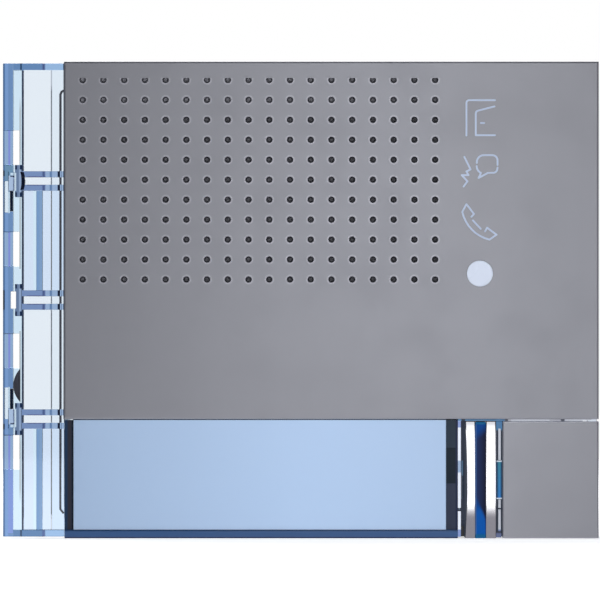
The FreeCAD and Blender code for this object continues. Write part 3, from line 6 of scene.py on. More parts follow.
import bpy
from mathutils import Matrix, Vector

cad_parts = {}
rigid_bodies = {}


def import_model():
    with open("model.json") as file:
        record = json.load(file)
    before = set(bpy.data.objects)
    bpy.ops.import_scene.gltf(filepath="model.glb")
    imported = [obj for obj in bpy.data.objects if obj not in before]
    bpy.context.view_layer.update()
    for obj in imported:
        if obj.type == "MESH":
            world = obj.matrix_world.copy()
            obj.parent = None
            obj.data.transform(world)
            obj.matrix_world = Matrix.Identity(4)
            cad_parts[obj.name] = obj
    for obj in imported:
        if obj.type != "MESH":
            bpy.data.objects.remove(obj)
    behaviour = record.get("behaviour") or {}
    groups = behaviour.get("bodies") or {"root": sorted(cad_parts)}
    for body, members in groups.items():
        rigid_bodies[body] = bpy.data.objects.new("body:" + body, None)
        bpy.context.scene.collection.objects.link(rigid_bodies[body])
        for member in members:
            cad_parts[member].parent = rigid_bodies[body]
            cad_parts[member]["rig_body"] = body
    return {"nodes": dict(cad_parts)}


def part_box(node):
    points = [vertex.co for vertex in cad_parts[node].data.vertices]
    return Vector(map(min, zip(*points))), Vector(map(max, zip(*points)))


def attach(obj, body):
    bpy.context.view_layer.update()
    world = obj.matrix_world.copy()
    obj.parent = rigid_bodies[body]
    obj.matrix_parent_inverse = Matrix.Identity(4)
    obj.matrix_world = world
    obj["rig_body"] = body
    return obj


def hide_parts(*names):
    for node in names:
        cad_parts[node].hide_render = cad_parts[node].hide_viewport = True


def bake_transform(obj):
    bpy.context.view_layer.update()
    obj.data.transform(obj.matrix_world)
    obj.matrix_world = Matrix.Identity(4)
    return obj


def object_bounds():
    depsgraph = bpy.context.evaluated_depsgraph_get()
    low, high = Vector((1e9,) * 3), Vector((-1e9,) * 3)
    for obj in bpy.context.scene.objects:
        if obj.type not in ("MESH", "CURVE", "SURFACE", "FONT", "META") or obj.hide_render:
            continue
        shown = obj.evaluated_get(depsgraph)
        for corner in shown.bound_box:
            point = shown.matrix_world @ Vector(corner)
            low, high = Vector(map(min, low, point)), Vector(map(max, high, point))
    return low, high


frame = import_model()
CAD_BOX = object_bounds()

bl_info = {
    "name": "Door intercom module",
    "version": (1, 0, 0),
    "blender": (4, 5, 0),
    "location": "3D View > Sidebar > Intercom",
    "description": "Dresses the packed door intercom module with its finishes and studio",
    "category": "Object",
}

MM = 0.001
PICTURE_PIXELS = 600
PIXEL = 0.19295 * MM
PICTURE_CENTRE = Vector((-0.145 * MM, 0.0, 0.0))
WHITE = (1.0, 1.0, 1.0, 1.0)
BLACK = (0.0, 0.0, 0.0, 1.0)
RUB_PATCH = 1.5 * MM
DUST_SPECK = 0.8 * MM

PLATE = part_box("front_plate")
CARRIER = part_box("front_carrier")
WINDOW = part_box("name_window")
KEY_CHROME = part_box("key_chrome")
KEY_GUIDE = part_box("key_light_guide")
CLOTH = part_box("speaker_mesh")
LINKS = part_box("link_sockets")
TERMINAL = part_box("terminal_socket")
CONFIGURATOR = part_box("configurator_socket")
SPEAKER_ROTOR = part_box("speaker_volume_rotor")
MICROPHONE_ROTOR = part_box("mic_volume_rotor")
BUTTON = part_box("program_button")
REAR_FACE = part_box("rear_shell")[1].y

# Softened edges and shading

SHARP_ANGLE = math.radians(30.0)
SMOOTH_ANGLE = math.radians(50.0)
FLAT_ANGLE = math.radians(0.5)
MERGE_DISTANCE = 0.002 * MM
TOLERANCE = 0.01 * MM
LIGHT_LINE_EDGE = 0.2 * MM
KEY_EDGE = 0.08 * MM
LEAF_EDGE = 0.04 * MM
RING_EDGE = 0.3 * MM
SEAL_EDGE = 0.15 * MM
COIL_EDGE = 0.2 * MM
CAN_EDGE = 0.1 * MM
PIN_EDGE = 0.06 * MM
PORT_EDGE = 0.05 * MM
CONTACT_EDGE = 0.03 * MM

# Plate and key tile, the holes' places and the painted highlight rings round them in millimetres

FIRST_HOLE = (PLATE[0].x / MM + 3.63, PLATE[1].z / MM - 3.53)
HOLE_PITCH = (4.0, 3.85)
HOLE_COLUMNS = (-1.2, 69.2)
HOLE_ROWS = (-39.7, 0.35, 0.2)
HIGHLIGHT_RING = (0.6, 0.92, 0.14)
HIGHLIGHT_LIFT = 1.3
# Width in millimetres of the painted highlight along the plate's lower edge
LOWER_EDGE_HIGHLIGHT = 0.25
# Painted highlight on the key tile's top rounded edge: how far below the top it reaches, and the facing of
# its faces
TILE_CROWN = 0.2 * MM
CROWN_NORMALS = (-0.95, -0.2)

# Painted light and shade on the metal: tones that fall slowly along an axis, each given as axis, first and
# last place in millimetres, and the tone at each; the plate's last one is a painted highlight along its
# lower edge

PLATE_PAINTED_LIGHT = (("X", -46.0, -4.0, 0.91, 1.0), ("X", 30.0, 50.0, 1.0, 0.955), ("Z", -23.0, 46.0, 1.05, 0.93),
               ("Z", PLATE[0].z / MM, PLATE[0].z / MM + LOWER_EDGE_HIGHLIGHT, 1.6, 1.0))
TILE_PAINTED_LIGHT = (("X", 38.0, 57.0, 1.13, 1.03),)

# Clear moulding: what it takes itself of white light, and the bands of its strip in millimetres

WALL_OWN = (0.60, 0.74, 0.88)
FLOOR_OWN = (0.81, 0.87, 0.94)
STRIP_LEFT = CARRIER[0].x / MM
ROW_PITCH = 23.0
BULGE_BOW = 0.098
WALL = ("across", -0.5, 1.95)
CHANNEL = ("across", 1.95, 3.62)
PANEL = ("across", 3.95, 11.8)
RIB = ("row", 0.72, 1.88)
INNER_ROWS = ("away", -1.0, 30.0)
END_BANDS = ("away", 44.35, 46.5)
BLUE_ROWS = (("height", 1.9, 21.1), ("height", -44.4, -24.9))
AXES = {"right": "X", "depth": "Y", "height": "Z"}

# Lit edges of the clear rims

RIM_DEPTH = 0.4 * MM
POST_LEFT = 30.0 * MM
SEAM_HEIGHT = -22.9 * MM
STOP_LEFT = 30.97 * MM
STOP_RIGHT = 31.6 * MM
STOP_LOW = -39.0 * MM
STOP_HIGH = -30.0 * MM
STOP_FRONT = -6.9 * MM
LIT_RIB_LEFT = 38.1 * MM
LIT_RIB_RIGHT = 38.7 * MM
LIT_RIB_FRONT = -8.6 * MM

# Chrome saddle and leaf spring

SADDLE_WAIST = 0.35 * MM
SADDLE_CROWN = 0.22 * MM
LOW_FALL = (0.6 * MM, 5.6 * MM)
TOP_FALL = (0.2 * MM, 1.4 * MM)
BAR_RINGS = 36
CROWN_SEGMENTS = 5
LONG_EDGE = 1.0 * MM
SLANT = 0.1 * MM
BRIDGE_HEIGHT = 2.2 * MM
BRIDGE_THICKNESS = 0.6 * MM
BRIDGE_OVERLAP = 0.5 * MM
LEAF_CUTS = 4

# Cloth, foam and window

THREAD_PITCH = 0.36 * MM
THREAD_DEPTH = 0.05 * MM
CLOTH_THICKNESS = 0.16 * MM
CLOTH_SPREAD = 0.12 * MM
CLOTH_COLUMNS = 71
CLOTH_ROWS = 40
WINDOW_AIR = 0.05 * MM
PORE_SIZE = 0.35 * MM
PORE_DEPTH = 0.08 * MM

# Loudspeaker, microphone and coils

RING_DEPTH = 0.04 * MM
CONE_RINGS = 1.1 * MM
CAPSULE_RINGS = 0.5 * MM
VOICE_WIRE = 0.22 * MM
COIL_WIRE = 0.3 * MM
COIL_FLANGE = 0.3 * MM

# Sockets and contacts

SLOT_PITCH = 3.4 * MM
SLOT_WIDTH = 2.2 * MM
SLOT_FLOOR = 3.05 * MM
SLOTS = 6
LINK_FLOOR = 2.9 * MM
LINK_WIDTH = 12.0 * MM
PIN_HALF = 0.4 * MM
PIN_BELOW = 1.3 * MM
TONGUE_HALF = 0.55 * MM
TONGUE_BELOW = 1.0 * MM
TIN_HALF = 0.6 * MM
TIN_BELOW = (1.5 * MM, 6.0 * MM)
TERMINAL_PITCH = 5.08 * MM
TERMINAL_WALL = 1.2 * MM
TERMINALS = 4
LEAF_HEIGHT = 5.2 * MM
LEAF_THICKNESS = 0.16 * MM
LEAF_GAP = 0.12 * MM
LEAF_START = 1.3 * MM
LEAF_BENDS = [(0.5 * MM, 1.0 * MM), (0.1 * MM, 0.4 * MM), (-0.1 * MM, 0.4 * MM), (-0.4 * MM, 1.0 * MM)]

# Relief on the rear wall

NUMBER_SIZE = 2.7 * MM
RELIEF_HEIGHT = 0.16 * MM
BEAD_WIDTH = 0.34 * MM
RING_WIDTH = 0.5 * MM
NUMBERS_ABOVE = 3.2 * MM
PICTOGRAM_BELOW = 7.6 * MM
CLOSED_STROKES = ("link_arrow", "button_ring", "horn", "microphone")


def colour_setting(name, description, colour):
    """A colour among the settings."""
    return bpy.props.FloatVectorProperty(name=name, description=description, subtype="COLOR",
                                         default=colour, min=0.0, max=1.0)


def edge_setting(name, description, width):
    """A width among the settings, given in millimetres."""
    return bpy.props.FloatProperty(name=name, description=description, default=width * MM, min=0.0,
                                   unit="LENGTH", precision=5)


class IntercomColours(bpy.types.PropertyGroup):
    """Colours of the module's finishes."""

    face_metal: colour_setting("Face metal", "Satin metal of the face and the key tile",
                               (0.29, 0.295, 0.325))
    clear_tint: colour_setting("Clear tint", "Tint of the clear moulding's surface", (0.93, 0.96, 1.0))
    clear_depth: colour_setting("Clear depth", "Colour that the clear moulding takes with depth",
                                (0.20, 0.58, 0.86))
    marks: colour_setting("Marks", "Raised marks on the rear wall", (0.34, 0.35, 0.37))
    window_blue: colour_setting("Window blue", "Backlit blank label behind the name window",
                                (0.370, 0.505, 0.730))
    light_line: colour_setting("Light line", "Bright end of the call key's light line",
                               (0.002, 0.040, 0.190))
    shell: colour_setting("Shell", "Moulded housing", (0.018, 0.019, 0.021))


class IntercomEdges(bpy.types.PropertyGroup):
    """Widths of the softened edges."""

    tile: edge_setting("Tile edge", "Softened edge of the key tile", 0.18)
    clear: edge_setting("Clear edge", "Softened edge of the clear moulding", 0.10)
    window: edge_setting("Window edge", "Softened edge of the window cover", 0.12)
    shell: edge_setting("Shell edge", "Softened edge of the moulded shells", 0.35)
    socket: edge_setting("Socket edge", "Softened edge of the sockets", 0.18)


class IntercomStudio(bpy.types.PropertyGroup):
    """Camera distance and light of the studio."""

    lens: bpy.props.FloatProperty(
        name="Lens", description="Focal length in millimetres of the long lens",
        default=1000.0, min=50.0)
    floor_radius: bpy.props.FloatProperty(
        name="Floor radius", description="Radius of the pale floor",
        default=1.6, min=0.2, unit="LENGTH")
    softbox_power: bpy.props.FloatProperty(
        name="Softbox power", description="Power of the front softbox",
        default=0.38, min=0.0, unit="POWER")


# Node helpers

def wire(tree, socket, value):
    """Links an output to a socket, or sets the socket's own value."""
    if isinstance(value, bpy.types.NodeSocket):
        tree.links.new(value, socket)
    else:
        socket.default_value = value


def place(tree, kind, inputs=None, **settings):
    """Adds a node with its settings and its inputs by name or number."""
    made = tree.nodes.new(kind)
    for name, value in settings.items():
        setattr(made, name, value)
    for name, value in (inputs or {}).items():
        wire(tree, made.inputs[name], value)
    return made


def maths(tree, first, second, operation="ADD", clamp=False):
    """Output of a Math node on two values."""
    made = place(tree, "ShaderNodeMath", {0: first, 1: second}, operation=operation, use_clamp=clamp)
    return made.outputs[0]


def blend_colours(tree, factor, first, second):
    """Output of a Mix node on two colours."""
    made = place(tree, "ShaderNodeMix", data_type="RGBA")
    wire(tree, made.inputs[0], factor)
    wire(tree, made.inputs[6], first)
    wire(tree, made.inputs[7], second)
    return made.outputs[2]


def vector_of(tree, first, second, operation):
    """Output of a Vector Math node on two vectors."""
    return place(tree, "ShaderNodeVectorMath", {0: first, 1: second}, operation=operation).outputs[0]


def scaled(tree, colour, level):
    """A colour or a place times a value."""
    return place(tree, "ShaderNodeVectorMath", {0: colour, "Scale": level}, operation="SCALE").outputs[0]


def ramp(tree, value, first, last, start=0.0, end=1.0, kind="LINEAR"):
    """A value carried from one range to another, and kept inside it."""
    limits = {"Value": value, "From Min": first, "From Max": last, "To Min": start, "To Max": end}
    return place(tree, "ShaderNodeMapRange", limits, interpolation_type=kind).outputs[0]


def wrapped(tree, value, pitch):
    """How far a value is past the nearest multiple of a pitch."""
    limits = {0: value, 1: pitch / 2, 2: -pitch / 2}
    return place(tree, "ShaderNodeMath", limits, operation="WRAP").outputs[0]


def wave(tree, value, pitch):
    """Sine of a value with a pitch."""
    return maths(tree, maths(tree, value, 2.0 * math.pi / pitch, "MULTIPLY"), 0.0, "SINE")


def object_place(tree):
    """Object coordinates of the surface."""
    return place(tree, "ShaderNodeTexCoord").outputs["Object"]


def axes(tree):
    """Outputs X, Y and Z of the Object coordinates."""
    return place(tree, "ShaderNodeSeparateXYZ", {0: object_place(tree)}).outputs


def millimetres(tree, *names):
    """Object coordinates in millimetres under the names right, depth and height."""
    parts = axes(tree)
    return {name: maths(tree, parts[AXES[name]], MM, "DIVIDE") for name in names}


def four(colour):
    """A colour with its alpha."""
    return (colour[0], colour[1], colour[2], 1.0)


def new_group(name, inputs, output):
    """An empty node group with float inputs and one output, its input node and its output node."""
    tree = bpy.data.node_groups.new(name, "ShaderNodeTree")
    for label, default in inputs.items():
        socket = tree.interface.new_socket(label, in_out="INPUT", socket_type="NodeSocketFloat")
        socket.default_value = default
    tree.interface.new_socket(output, in_out="OUTPUT", socket_type="NodeSocketFloat")
    return tree, tree.nodes.new("NodeGroupInput"), tree.nodes.new("NodeGroupOutput")


def object_noise(tree, size, detail=3.0, stretch=(1.0, 1.0, 1.0)):
    """Noise on Object coordinates whose blobs are about size wide."""
    stretched = vector_of(tree, object_place(tree), stretch, "MULTIPLY")
    sized = scaled(tree, stretched, maths(tree, 1.0, size, "DIVIDE"))
    return place(tree, "ShaderNodeTexNoise", {"Vector": sized, "Scale": 1.0, "Detail": detail}).outputs[0]


def tone_group():
    """Slow drift of a colour's brightness over the surface."""
    tree, given, result = new_group("Tone drift", {"Size": 0.02, "Amount": 0.05}, "Factor")
    noise = object_noise(tree, given.outputs["Size"])
    centred = maths(tree, noise, 0.5, "SUBTRACT")
    wide = maths(tree, centred, 2.0, "MULTIPLY")
    drift = maths(tree, wide, given.outputs["Amount"], "MULTIPLY")
    wire(tree, result.inputs["Factor"], maths(tree, drift, 1.0))
    return tree


def grain_group():
    """Height of a fine grain, as of bead-blasted metal or a textured mould."""
    tree, given, result = new_group("Fine grain", {"Size": 0.0002}, "Height")
    wire(tree, result.inputs["Height"], object_noise(tree, given.outputs["Size"], detail=2.0))
    return tree


def smudge_group():
    """Soft spots where a surface is a little duller."""
    tree, given, result = new_group("Handling", {"Size": 0.012, "Amount": 0.1}, "Dullness")
    noise = object_noise(tree, given.outputs["Size"], detail=5.0)
    spots = ramp(tree, noise, 0.45, 0.75)
    wire(tree, result.inputs["Dullness"], maths(tree, spots, given.outputs["Amount"], "MULTIPLY"))
    return tree


def edge_group():
    """Mask of the worn rim along sharp edges."""
    tree, given, result = new_group("Edge rub", {"Width": 0.0002, "Amount": 0.5}, "Mask")
    rounded = place(tree, "ShaderNodeBevel", {"Radius": given.outputs["Width"]}, samples=6)
    flat = place(tree, "ShaderNodeNewGeometry").outputs["Normal"]
    along = place(tree, "ShaderNodeVectorMath", {0: rounded.outputs[0], 1: flat}, operation="DOT_PRODUCT")
    away = maths(tree, 1.0, along.outputs["Value"], "SUBTRACT")
    strong = maths(tree, away, 4.0, "MULTIPLY", clamp=True)
    patchy = maths(tree, strong, object_noise(tree, RUB_PATCH), "MULTIPLY")
    wire(tree, result.inputs["Mask"], maths(tree, patchy, given.outputs["Amount"], "MULTIPLY", clamp=True))
    return tree


def dust_group():
    """Mask of the pale dust that settles on faces that look up."""
    tree, given, result = new_group("Dust", {"Amount": 0.1}, "Mask")
    normal = place(tree, "ShaderNodeNewGeometry").outputs["Normal"]
    up = place(tree, "ShaderNodeSeparateXYZ", {0: normal}).outputs["Z"]
    facing = maths(tree, up, 0.0, "MAXIMUM")
    speck = maths(tree, object_noise(tree, DUST_SPECK), facing, "MULTIPLY")
    wire(tree, result.inputs["Mask"], maths(tree, speck, given.outputs["Amount"], "MULTIPLY", clamp=True))
    return tree


def band_group():
    """Mask of the values between two limits, soft at both."""
    names = {"Value": 0.0, "Low": 0.0, "High": 1.0, "Soft": 0.06}
    tree, given, result = new_group("Band", names, "Mask")
    above = maths(tree, given.outputs["Value"], given.outputs["Low"], "SUBTRACT")
    below = maths(tree, given.outputs["High"], given.outputs["Value"], "SUBTRACT")
    nearer = maths(tree, maths(tree, above, below, "MINIMUM"), given.outputs["Soft"], "DIVIDE")
    wire(tree, result.inputs["Mask"], maths(tree, nearer, 0.5, clamp=True))
    return tree


GROUP_MAKERS = {"Tone drift": tone_group, "Fine grain": grain_group, "Handling": smudge_group,
                "Edge rub": edge_group, "Dust": dust_group, "Band": band_group}


def effect(tree, name, **values):
    """Output of a shared effect, with this material's own values."""
    made = tree.nodes.new("ShaderNodeGroup")
    made.node_tree = bpy.data.node_groups.get(name) or GROUP_MAKERS[name]()
    for label, value in values.items():
        wire(tree, made.inputs[label.replace("_", " ").title()], value)
    return made.outputs[0]


def new_material(name):
    """A material with only its shader and output, as (material, tree, shader)."""
    made = bpy.data.materials.new(name)
    made.use_nodes = True
    tree = made.node_tree
    tree.nodes.clear()
    shader = tree.nodes.new("ShaderNodeBsdfPrincipled")
    output = tree.nodes.new("ShaderNodeOutputMaterial")
    tree.links.new(shader.outputs[0], output.inputs["Surface"])
    return made, tree, shader


def opened(made):
    """A material's tree and shader."""
    return made.node_tree, made.node_tree.nodes["Principled BSDF"]


def colour_before(shader):
    """The output that feeds a shader's colour so far."""
    return shader.inputs["Base Color"].links[0].from_socket


def toned(tree, colour, size, amount):
    """A colour whose brightness drifts over the surface."""
    return scaled(tree, colour[:3], effect(tree, "Tone drift", size=size, amount=amount))


def bumped(tree, shader, height, depth):
    """Gives a shader a bump."""
    bump = place(tree, "ShaderNodeBump", {"Height": height, "Distance": depth, "Strength": 1.0})
    wire(tree, shader.inputs["Normal"], bump.outputs[0])


def handled(tree, shader, size, amount, roughness):
    """Gives a shader its roughness, with soft spots that are a little duller."""
    dullness = effect(tree, "Handling", size=size, amount=amount)
    wire(tree, shader.inputs["Roughness"], maths(tree, dullness, roughness))


def glowing(tree, shader, colour, strength):
    """Lets a shader give off a colour."""
    wire(tree, shader.inputs["Emission Color"], colour)
    shader.inputs["Emission Strength"].default_value = strength


def surface(name, colour, roughness, metallic=0.0, drift=0.05, drift_size=0.02, grain_size=0.0003,
            grain_depth=0.00001, dull=0.08, rub=0.0, rub_colour=(0.6, 0.6, 0.6), dust=0.0, specular=0.5):
    """A solid finish: toned colour, handled roughness, fine grain, rubbed edges and dust."""
    made, tree, shader = new_material(name)
    colour_now = toned(tree, colour, drift_size, drift)
    if rub:
        mask = effect(tree, "Edge rub", width=0.00025, amount=rub)
        colour_now = blend_colours(tree, mask, colour_now, four(rub_colour))
    if dust:
        mask = effect(tree, "Dust", amount=dust)
        colour_now = blend_colours(tree, mask, colour_now, (0.55, 0.53, 0.5, 1.0))
    wire(tree, shader.inputs["Base Color"], colour_now)
    shader.inputs["Metallic"].default_value = metallic
    shader.inputs["Specular IOR Level"].default_value = specular
    handled(tree, shader, 0.01, dull, roughness)
    bumped(tree, shader, effect(tree, "Fine grain", size=grain_size), grain_depth)
    return made


# Tones and the layers that lay them

def display(tone):
    """Linear colour of a display tone, given from 0 to 255."""
    parts = [value / 255.0 for value in tone]
    return [part / 12.92 if part < 0.04045 else ((part + 0.055) / 1.055) ** 2.4 for part in parts]


def linear_tone(*tone):
    """A linear colour with its alpha."""
    return four(tone)


def display_tone(*tone):
    """Linear colour of a display tone, with its alpha."""
    return four(display(tone))


def through(own, tone):
    """Surface tint that lets white light out in a display tone, past what the moulding takes itself."""
    wanted = [min(1.0, (value / depth) ** 2) for value, depth in zip(display(tone), own)]
    return four(wanted)


def wall_tone(*tone):
    """Surface tint for a display tone on the raised walls."""
    return through(WALL_OWN, tone)


def floor_tone(*tone):
    """Surface tint for a display tone on the thin floors."""
    return through(FLOOR_OWN, tone)


def band(tree, value, low, high, soft=0.06):
    """Mask of the values between two limits."""
    return effect(tree, "Band", value=value, low=low, high=high, soft=soft)


class Layers:
    """A colour that tones are laid over. A mask is an output, or a place's name with its band's limits."""

    def __init__(self, tree, colour, tint=linear_tone, **places):
        self.tree = tree
        self.colour = colour
        self.tint = tint
        self.places = places

    def mask(self, given):
        """Output of a mask."""
        if isinstance(given, tuple):
            name, *limits = given
            return band(self.tree, self.places[name], *limits)
        return given

    def met(self, *masks, operation="MULTIPLY"):
        """Mask where all the masks meet."""
        first, *others = [self.mask(given) for given in masks]
        for more in others:
            first = maths(self.tree, first, more, operation)
        return first

    def any_of(self, *masks):
        """Mask of all that one mask or another covers."""
        return self.met(*masks, operation="MAXIMUM")

    def lay(self, tone, *masks):
        """Lays a tone over the colour where all the masks meet."""
        self.colour = blend_colours(self.tree, self.met(*masks), self.colour, self.tint(*tone))


# Piece helpers


def only(piece):
    """Selects one object and makes it active, in object mode."""
    if bpy.context.mode != "OBJECT":
        bpy.ops.object.mode_set(mode="OBJECT")
    bpy.ops.object.select_all(action="DESELECT")
    piece.select_set(True)
    bpy.context.view_layer.objects.active = piece


def coat(piece, material):
    """Makes a material a piece's only one."""
    piece.data.materials.clear()
    piece.data.materials.append(material)


def dress(material, *names):
    """Gives CAD nodes a material in every slot."""
    for name in names:
        coat(frame["nodes"][name], material)


def smooth(piece):
    """Smooths a piece's shading, with its flat faces kept even."""
    only(piece)
    bpy.ops.object.shade_smooth_by_angle(angle=SMOOTH_ANGLE)
    even = piece.modifiers.new("Even normals", "WEIGHTED_NORMAL")
    even.keep_sharp = True
    bpy.ops.object.modifier_apply(modifier=even.name)


def soften(piece, width, segments=2, even=False):
    """Rounds the sharp edges of a piece and smooths its shading, or keeps it even."""
    bevel = piece.modifiers.new("Softened edges", "BEVEL")
    bevel.width = width
    bevel.segments = segments
    bevel.limit_method = "ANGLE"
    bevel.angle_limit = SHARP_ANGLE
    bevel.use_clamp_overlap = False
    only(piece)
    bpy.ops.object.modifier_apply(modifier=bevel.name)
    if even:
        bpy.ops.object.shade_flat()
    else:
        smooth(piece)


def thicken(piece, thickness):
    """Gives a thin piece its thickness, half to each side."""
    thick = piece.modifiers.new("Thickness", "SOLIDIFY")
    thick.thickness = thickness
    thick.offset = 0.0
    only(piece)
    bpy.ops.object.modifier_apply(modifier=thick.name)


def settle(piece, material, node):
    """A piece stands for a CAD node, rides where it rides and takes the given material."""
    coat(piece, material)
    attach(piece, frame["nodes"][node]["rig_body"])
    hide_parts(node)
    return piece


def copied(node, name):
    """A merged copy of a CAD node's mesh."""
    piece = bpy.data.objects.new(name, frame["nodes"][node].data.copy())
    bpy.context.scene.collection.objects.link(piece)
    only(piece)
    bpy.ops.object.mode_set(mode="EDIT")
    bpy.ops.mesh.select_all(action="SELECT")
    bpy.ops.mesh.remove_doubles(threshold=MERGE_DISTANCE)
    bpy.ops.mesh.dissolve_limited(angle_limit=FLAT_ANGLE)
    bpy.ops.object.mode_set(mode="OBJECT")
    return piece


def softened(node, name, material, width, segments=2):
    """A copy of a CAD node with rounded edges stands for it."""
    piece = copied(node, name)
    soften(piece, width, segments)
    return settle(piece, material, node)


def block(name, low, high):
    """A box between two corners, with its place in its mesh."""
    bpy.ops.object.select_all(action="DESELECT")
    bpy.ops.mesh.primitive_cube_add(size=1.0, location=(Vector(low) + Vector(high)) / 2)
    piece = bpy.context.object
    piece.name = name
    piece.scale = Vector(high) - Vector(low)
    bpy.ops.object.transform_apply(location=True, rotation=True, scale=True)
    return piece


def choose(piece, kind, inside):
    """Selects only the vertices, edges or faces of a piece whose middle is inside, and enters edit mode."""
    only(piece)
    mesh = piece.data
    bpy.ops.object.mode_set(mode="EDIT")
    bpy.ops.mesh.select_mode(type=kind)
    bpy.ops.mesh.select_all(action="DESELECT")
    bpy.ops.object.mode_set(mode="OBJECT")
    if kind == "VERT":
        for vertex in mesh.vertices:
            vertex.select = inside(vertex.co)
    elif kind == "EDGE":
        for edge in mesh.edges:
            first, second = (mesh.vertices[corner].co for corner in edge.vertices)
            edge.select = inside(first, second)
    else:
        for face in mesh.polygons:
            face.select = inside(face.center, face.normal)
    bpy.ops.object.mode_set(mode="EDIT")


def join(name, pieces):
    """One piece made of several."""
    bpy.ops.object.select_all(action="DESELECT")
    for piece in pieces:
        piece.select_set(True)
    bpy.context.view_layer.objects.active = pieces[0]
    bpy.ops.object.join()
    pieces[0].name = name
    return pieces[0]


def paint_faces(piece, material, inside):
    """Gives a second material to the faces whose centre is inside."""
    piece.data.materials.append(material)
    number = len(piece.data.materials) - 1
    for face in piece.data.polygons:
        if inside(face.center, face.normal):
            face.material_index = number


def at_origin(piece):
    """Applies a piece's place, turn and size to its mesh."""
    only(piece)
    bpy.ops.object.transform_apply(location=True, rotation=True, scale=True)
    return piece


def own_copy(piece, step):
    """A copy of a piece with its own mesh, moved by a step."""
    only(piece)
    bpy.ops.object.duplicate()
    twin = bpy.context.object
    twin.location = step
    return at_origin(twin)


def rear_middle(box):
    """Middle of a CAD node's box, as seen from the back in X and Z."""
    low, high = box
    return (low.x + high.x) / 2, (low.z + high.z) / 2


def bead(name, centre, points, thick, closed=False):
    """A raised line on the rear wall, half sunk in it, through points in millimetres as seen from behind."""
    places = [Vector((centre[0] - right * MM, REAR_FACE, centre[1] + up * MM)) for right, up in points]
    if closed:
        places.append(places[0])
    bpy.ops.object.select_all(action="DESELECT")
    bpy.ops.mesh.primitive_plane_add(size=MM, location=places[0])
    piece = bpy.context.object
    piece.name = name
    bpy.ops.object.mode_set(mode="EDIT")
    bpy.ops.mesh.select_mode(type="VERT")
    bpy.ops.mesh.select_all(action="SELECT")
    bpy.ops.mesh.merge(type="CENTER")
    for start, end in zip(places, places[1:]):
        bpy.ops.mesh.extrude_vertices_move(TRANSFORM_OT_translate={"value": end - start})
    bpy.ops.mesh.select_all(action="SELECT")
    bpy.ops.mesh.remove_doubles(threshold=TOLERANCE)
    bpy.ops.object.mode_set(mode="OBJECT")
    bpy.ops.object.convert(target="CURVE")
    piece = bpy.context.object
    piece.data.bevel_depth = thick / 2
    piece.data.bevel_resolution = 2
    piece.data.use_fill_caps = True
    bpy.ops.object.convert(target="MESH")
    return at_origin(bpy.context.object)


def row_steps(count):
    """Steps from the middle of a row to each of its places."""
    return [number - (count - 1) / 2 for number in range(count)]


def arc(radius, start, end, steps, middle=(0.0, 0.0)):
    """Points of an arc between two angles in degrees, counted from the right and upwards."""
    turns = [math.radians(start + (end - start) * step / steps) for step in range(steps + 1)]
    return [(middle[0] + radius * math.cos(turn), middle[1] + radius * math.sin(turn)) for turn in turns]


def raised_number(number, x, z):
    """A plain number raised on the rear wall, read from behind."""
    bpy.ops.object.select_all(action="DESELECT")
    bpy.ops.object.text_add(location=(0.0, 0.0, 0.0))
    sign = bpy.context.object
    sign.name = f"number_{number}"
    sign.data.body = str(number)
    sign.data.size = NUMBER_SIZE
    sign.data.extrude = RELIEF_HEIGHT
    sign.data.align_x = "CENTER"
    sign.data.align_y = "CENTER"
    bpy.ops.object.convert(target="MESH")
    sign = bpy.context.object
    sign.location = (x, REAR_FACE, z)
    sign.rotation_euler = (math.radians(90.0), 0.0, math.radians(180.0))
    return at_origin(sign)


# Finishes

def label_film(blue):
    """Blank pale-blue label, lit from behind, a little darker towards both its ends."""
    made, tree, shader = new_material("label film")
    along = axes(tree)["X"]
    left = ramp(tree, along, -44.0 * MM, 0.0, 0.76, 1.0)
    right = ramp(tree, along, 8.0 * MM, 28.0 * MM, 1.0, 0.93)
    level = maths(tree, left, right, "MULTIPLY")
    wire(tree, shader.inputs["Base Color"], (0.1, 0.14, 0.2, 1.0))
    glowing(tree, shader, scaled(tree, toned(tree, blue, 0.03, 0.01), level), 1.0)
    shader.inputs["Roughness"].default_value = 0.6
    return made


def satin_metal(name, colour, falls):
    """Fine-blasted grey metal of the face, whose tone falls slowly along its axes as painted light and
    shade.
    """
    made = surface(name, colour, 0.40, metallic=1.0, drift=0.015, drift_size=0.03,
                   grain_size=0.00012, grain_depth=0.000004, dull=0.04)
    tree, shader = opened(made)
    colour_now = colour_before(shader)
    parts = axes(tree)
    level = 1.0
    for axis, first, last, start, end in falls:
        fall = ramp(tree, parts[axis], first * MM, last * MM, start, end)
        level = maths(tree, level, fall, "MULTIPLY")
    wire(tree, shader.inputs["Base Color"], scaled(tree, colour_now, level))
    return made


def burnished_rims(made):
    """Painted highlight: brightens the metal in a thin ring round each sound hole."""
    tree, shader = opened(made)
    places = millimetres(tree, "right", "height")
    right = maths(tree, places["right"], FIRST_HOLE[0], "SUBTRACT")
    up = maths(tree, places["height"], FIRST_HOLE[1], "SUBTRACT")
    squares = []
    for value, pitch in zip((right, up), HOLE_PITCH):
        near = wrapped(tree, value, pitch)
        squares.append(maths(tree, near, near, "MULTIPLY"))
    away = maths(tree, maths(tree, *squares), 0.5, "POWER")
    field = maths(tree, band(tree, right, *HOLE_COLUMNS), band(tree, up, *HOLE_ROWS), "MULTIPLY")
    ring = maths(tree, band(tree, away, *HIGHLIGHT_RING), field, "MULTIPLY")
    lift = ramp(tree, ring, 0.0, 1.0, 1.0, HIGHLIGHT_LIFT)
    wire(tree, shader.inputs["Base Color"], scaled(tree, colour_before(shader), lift))
    return made


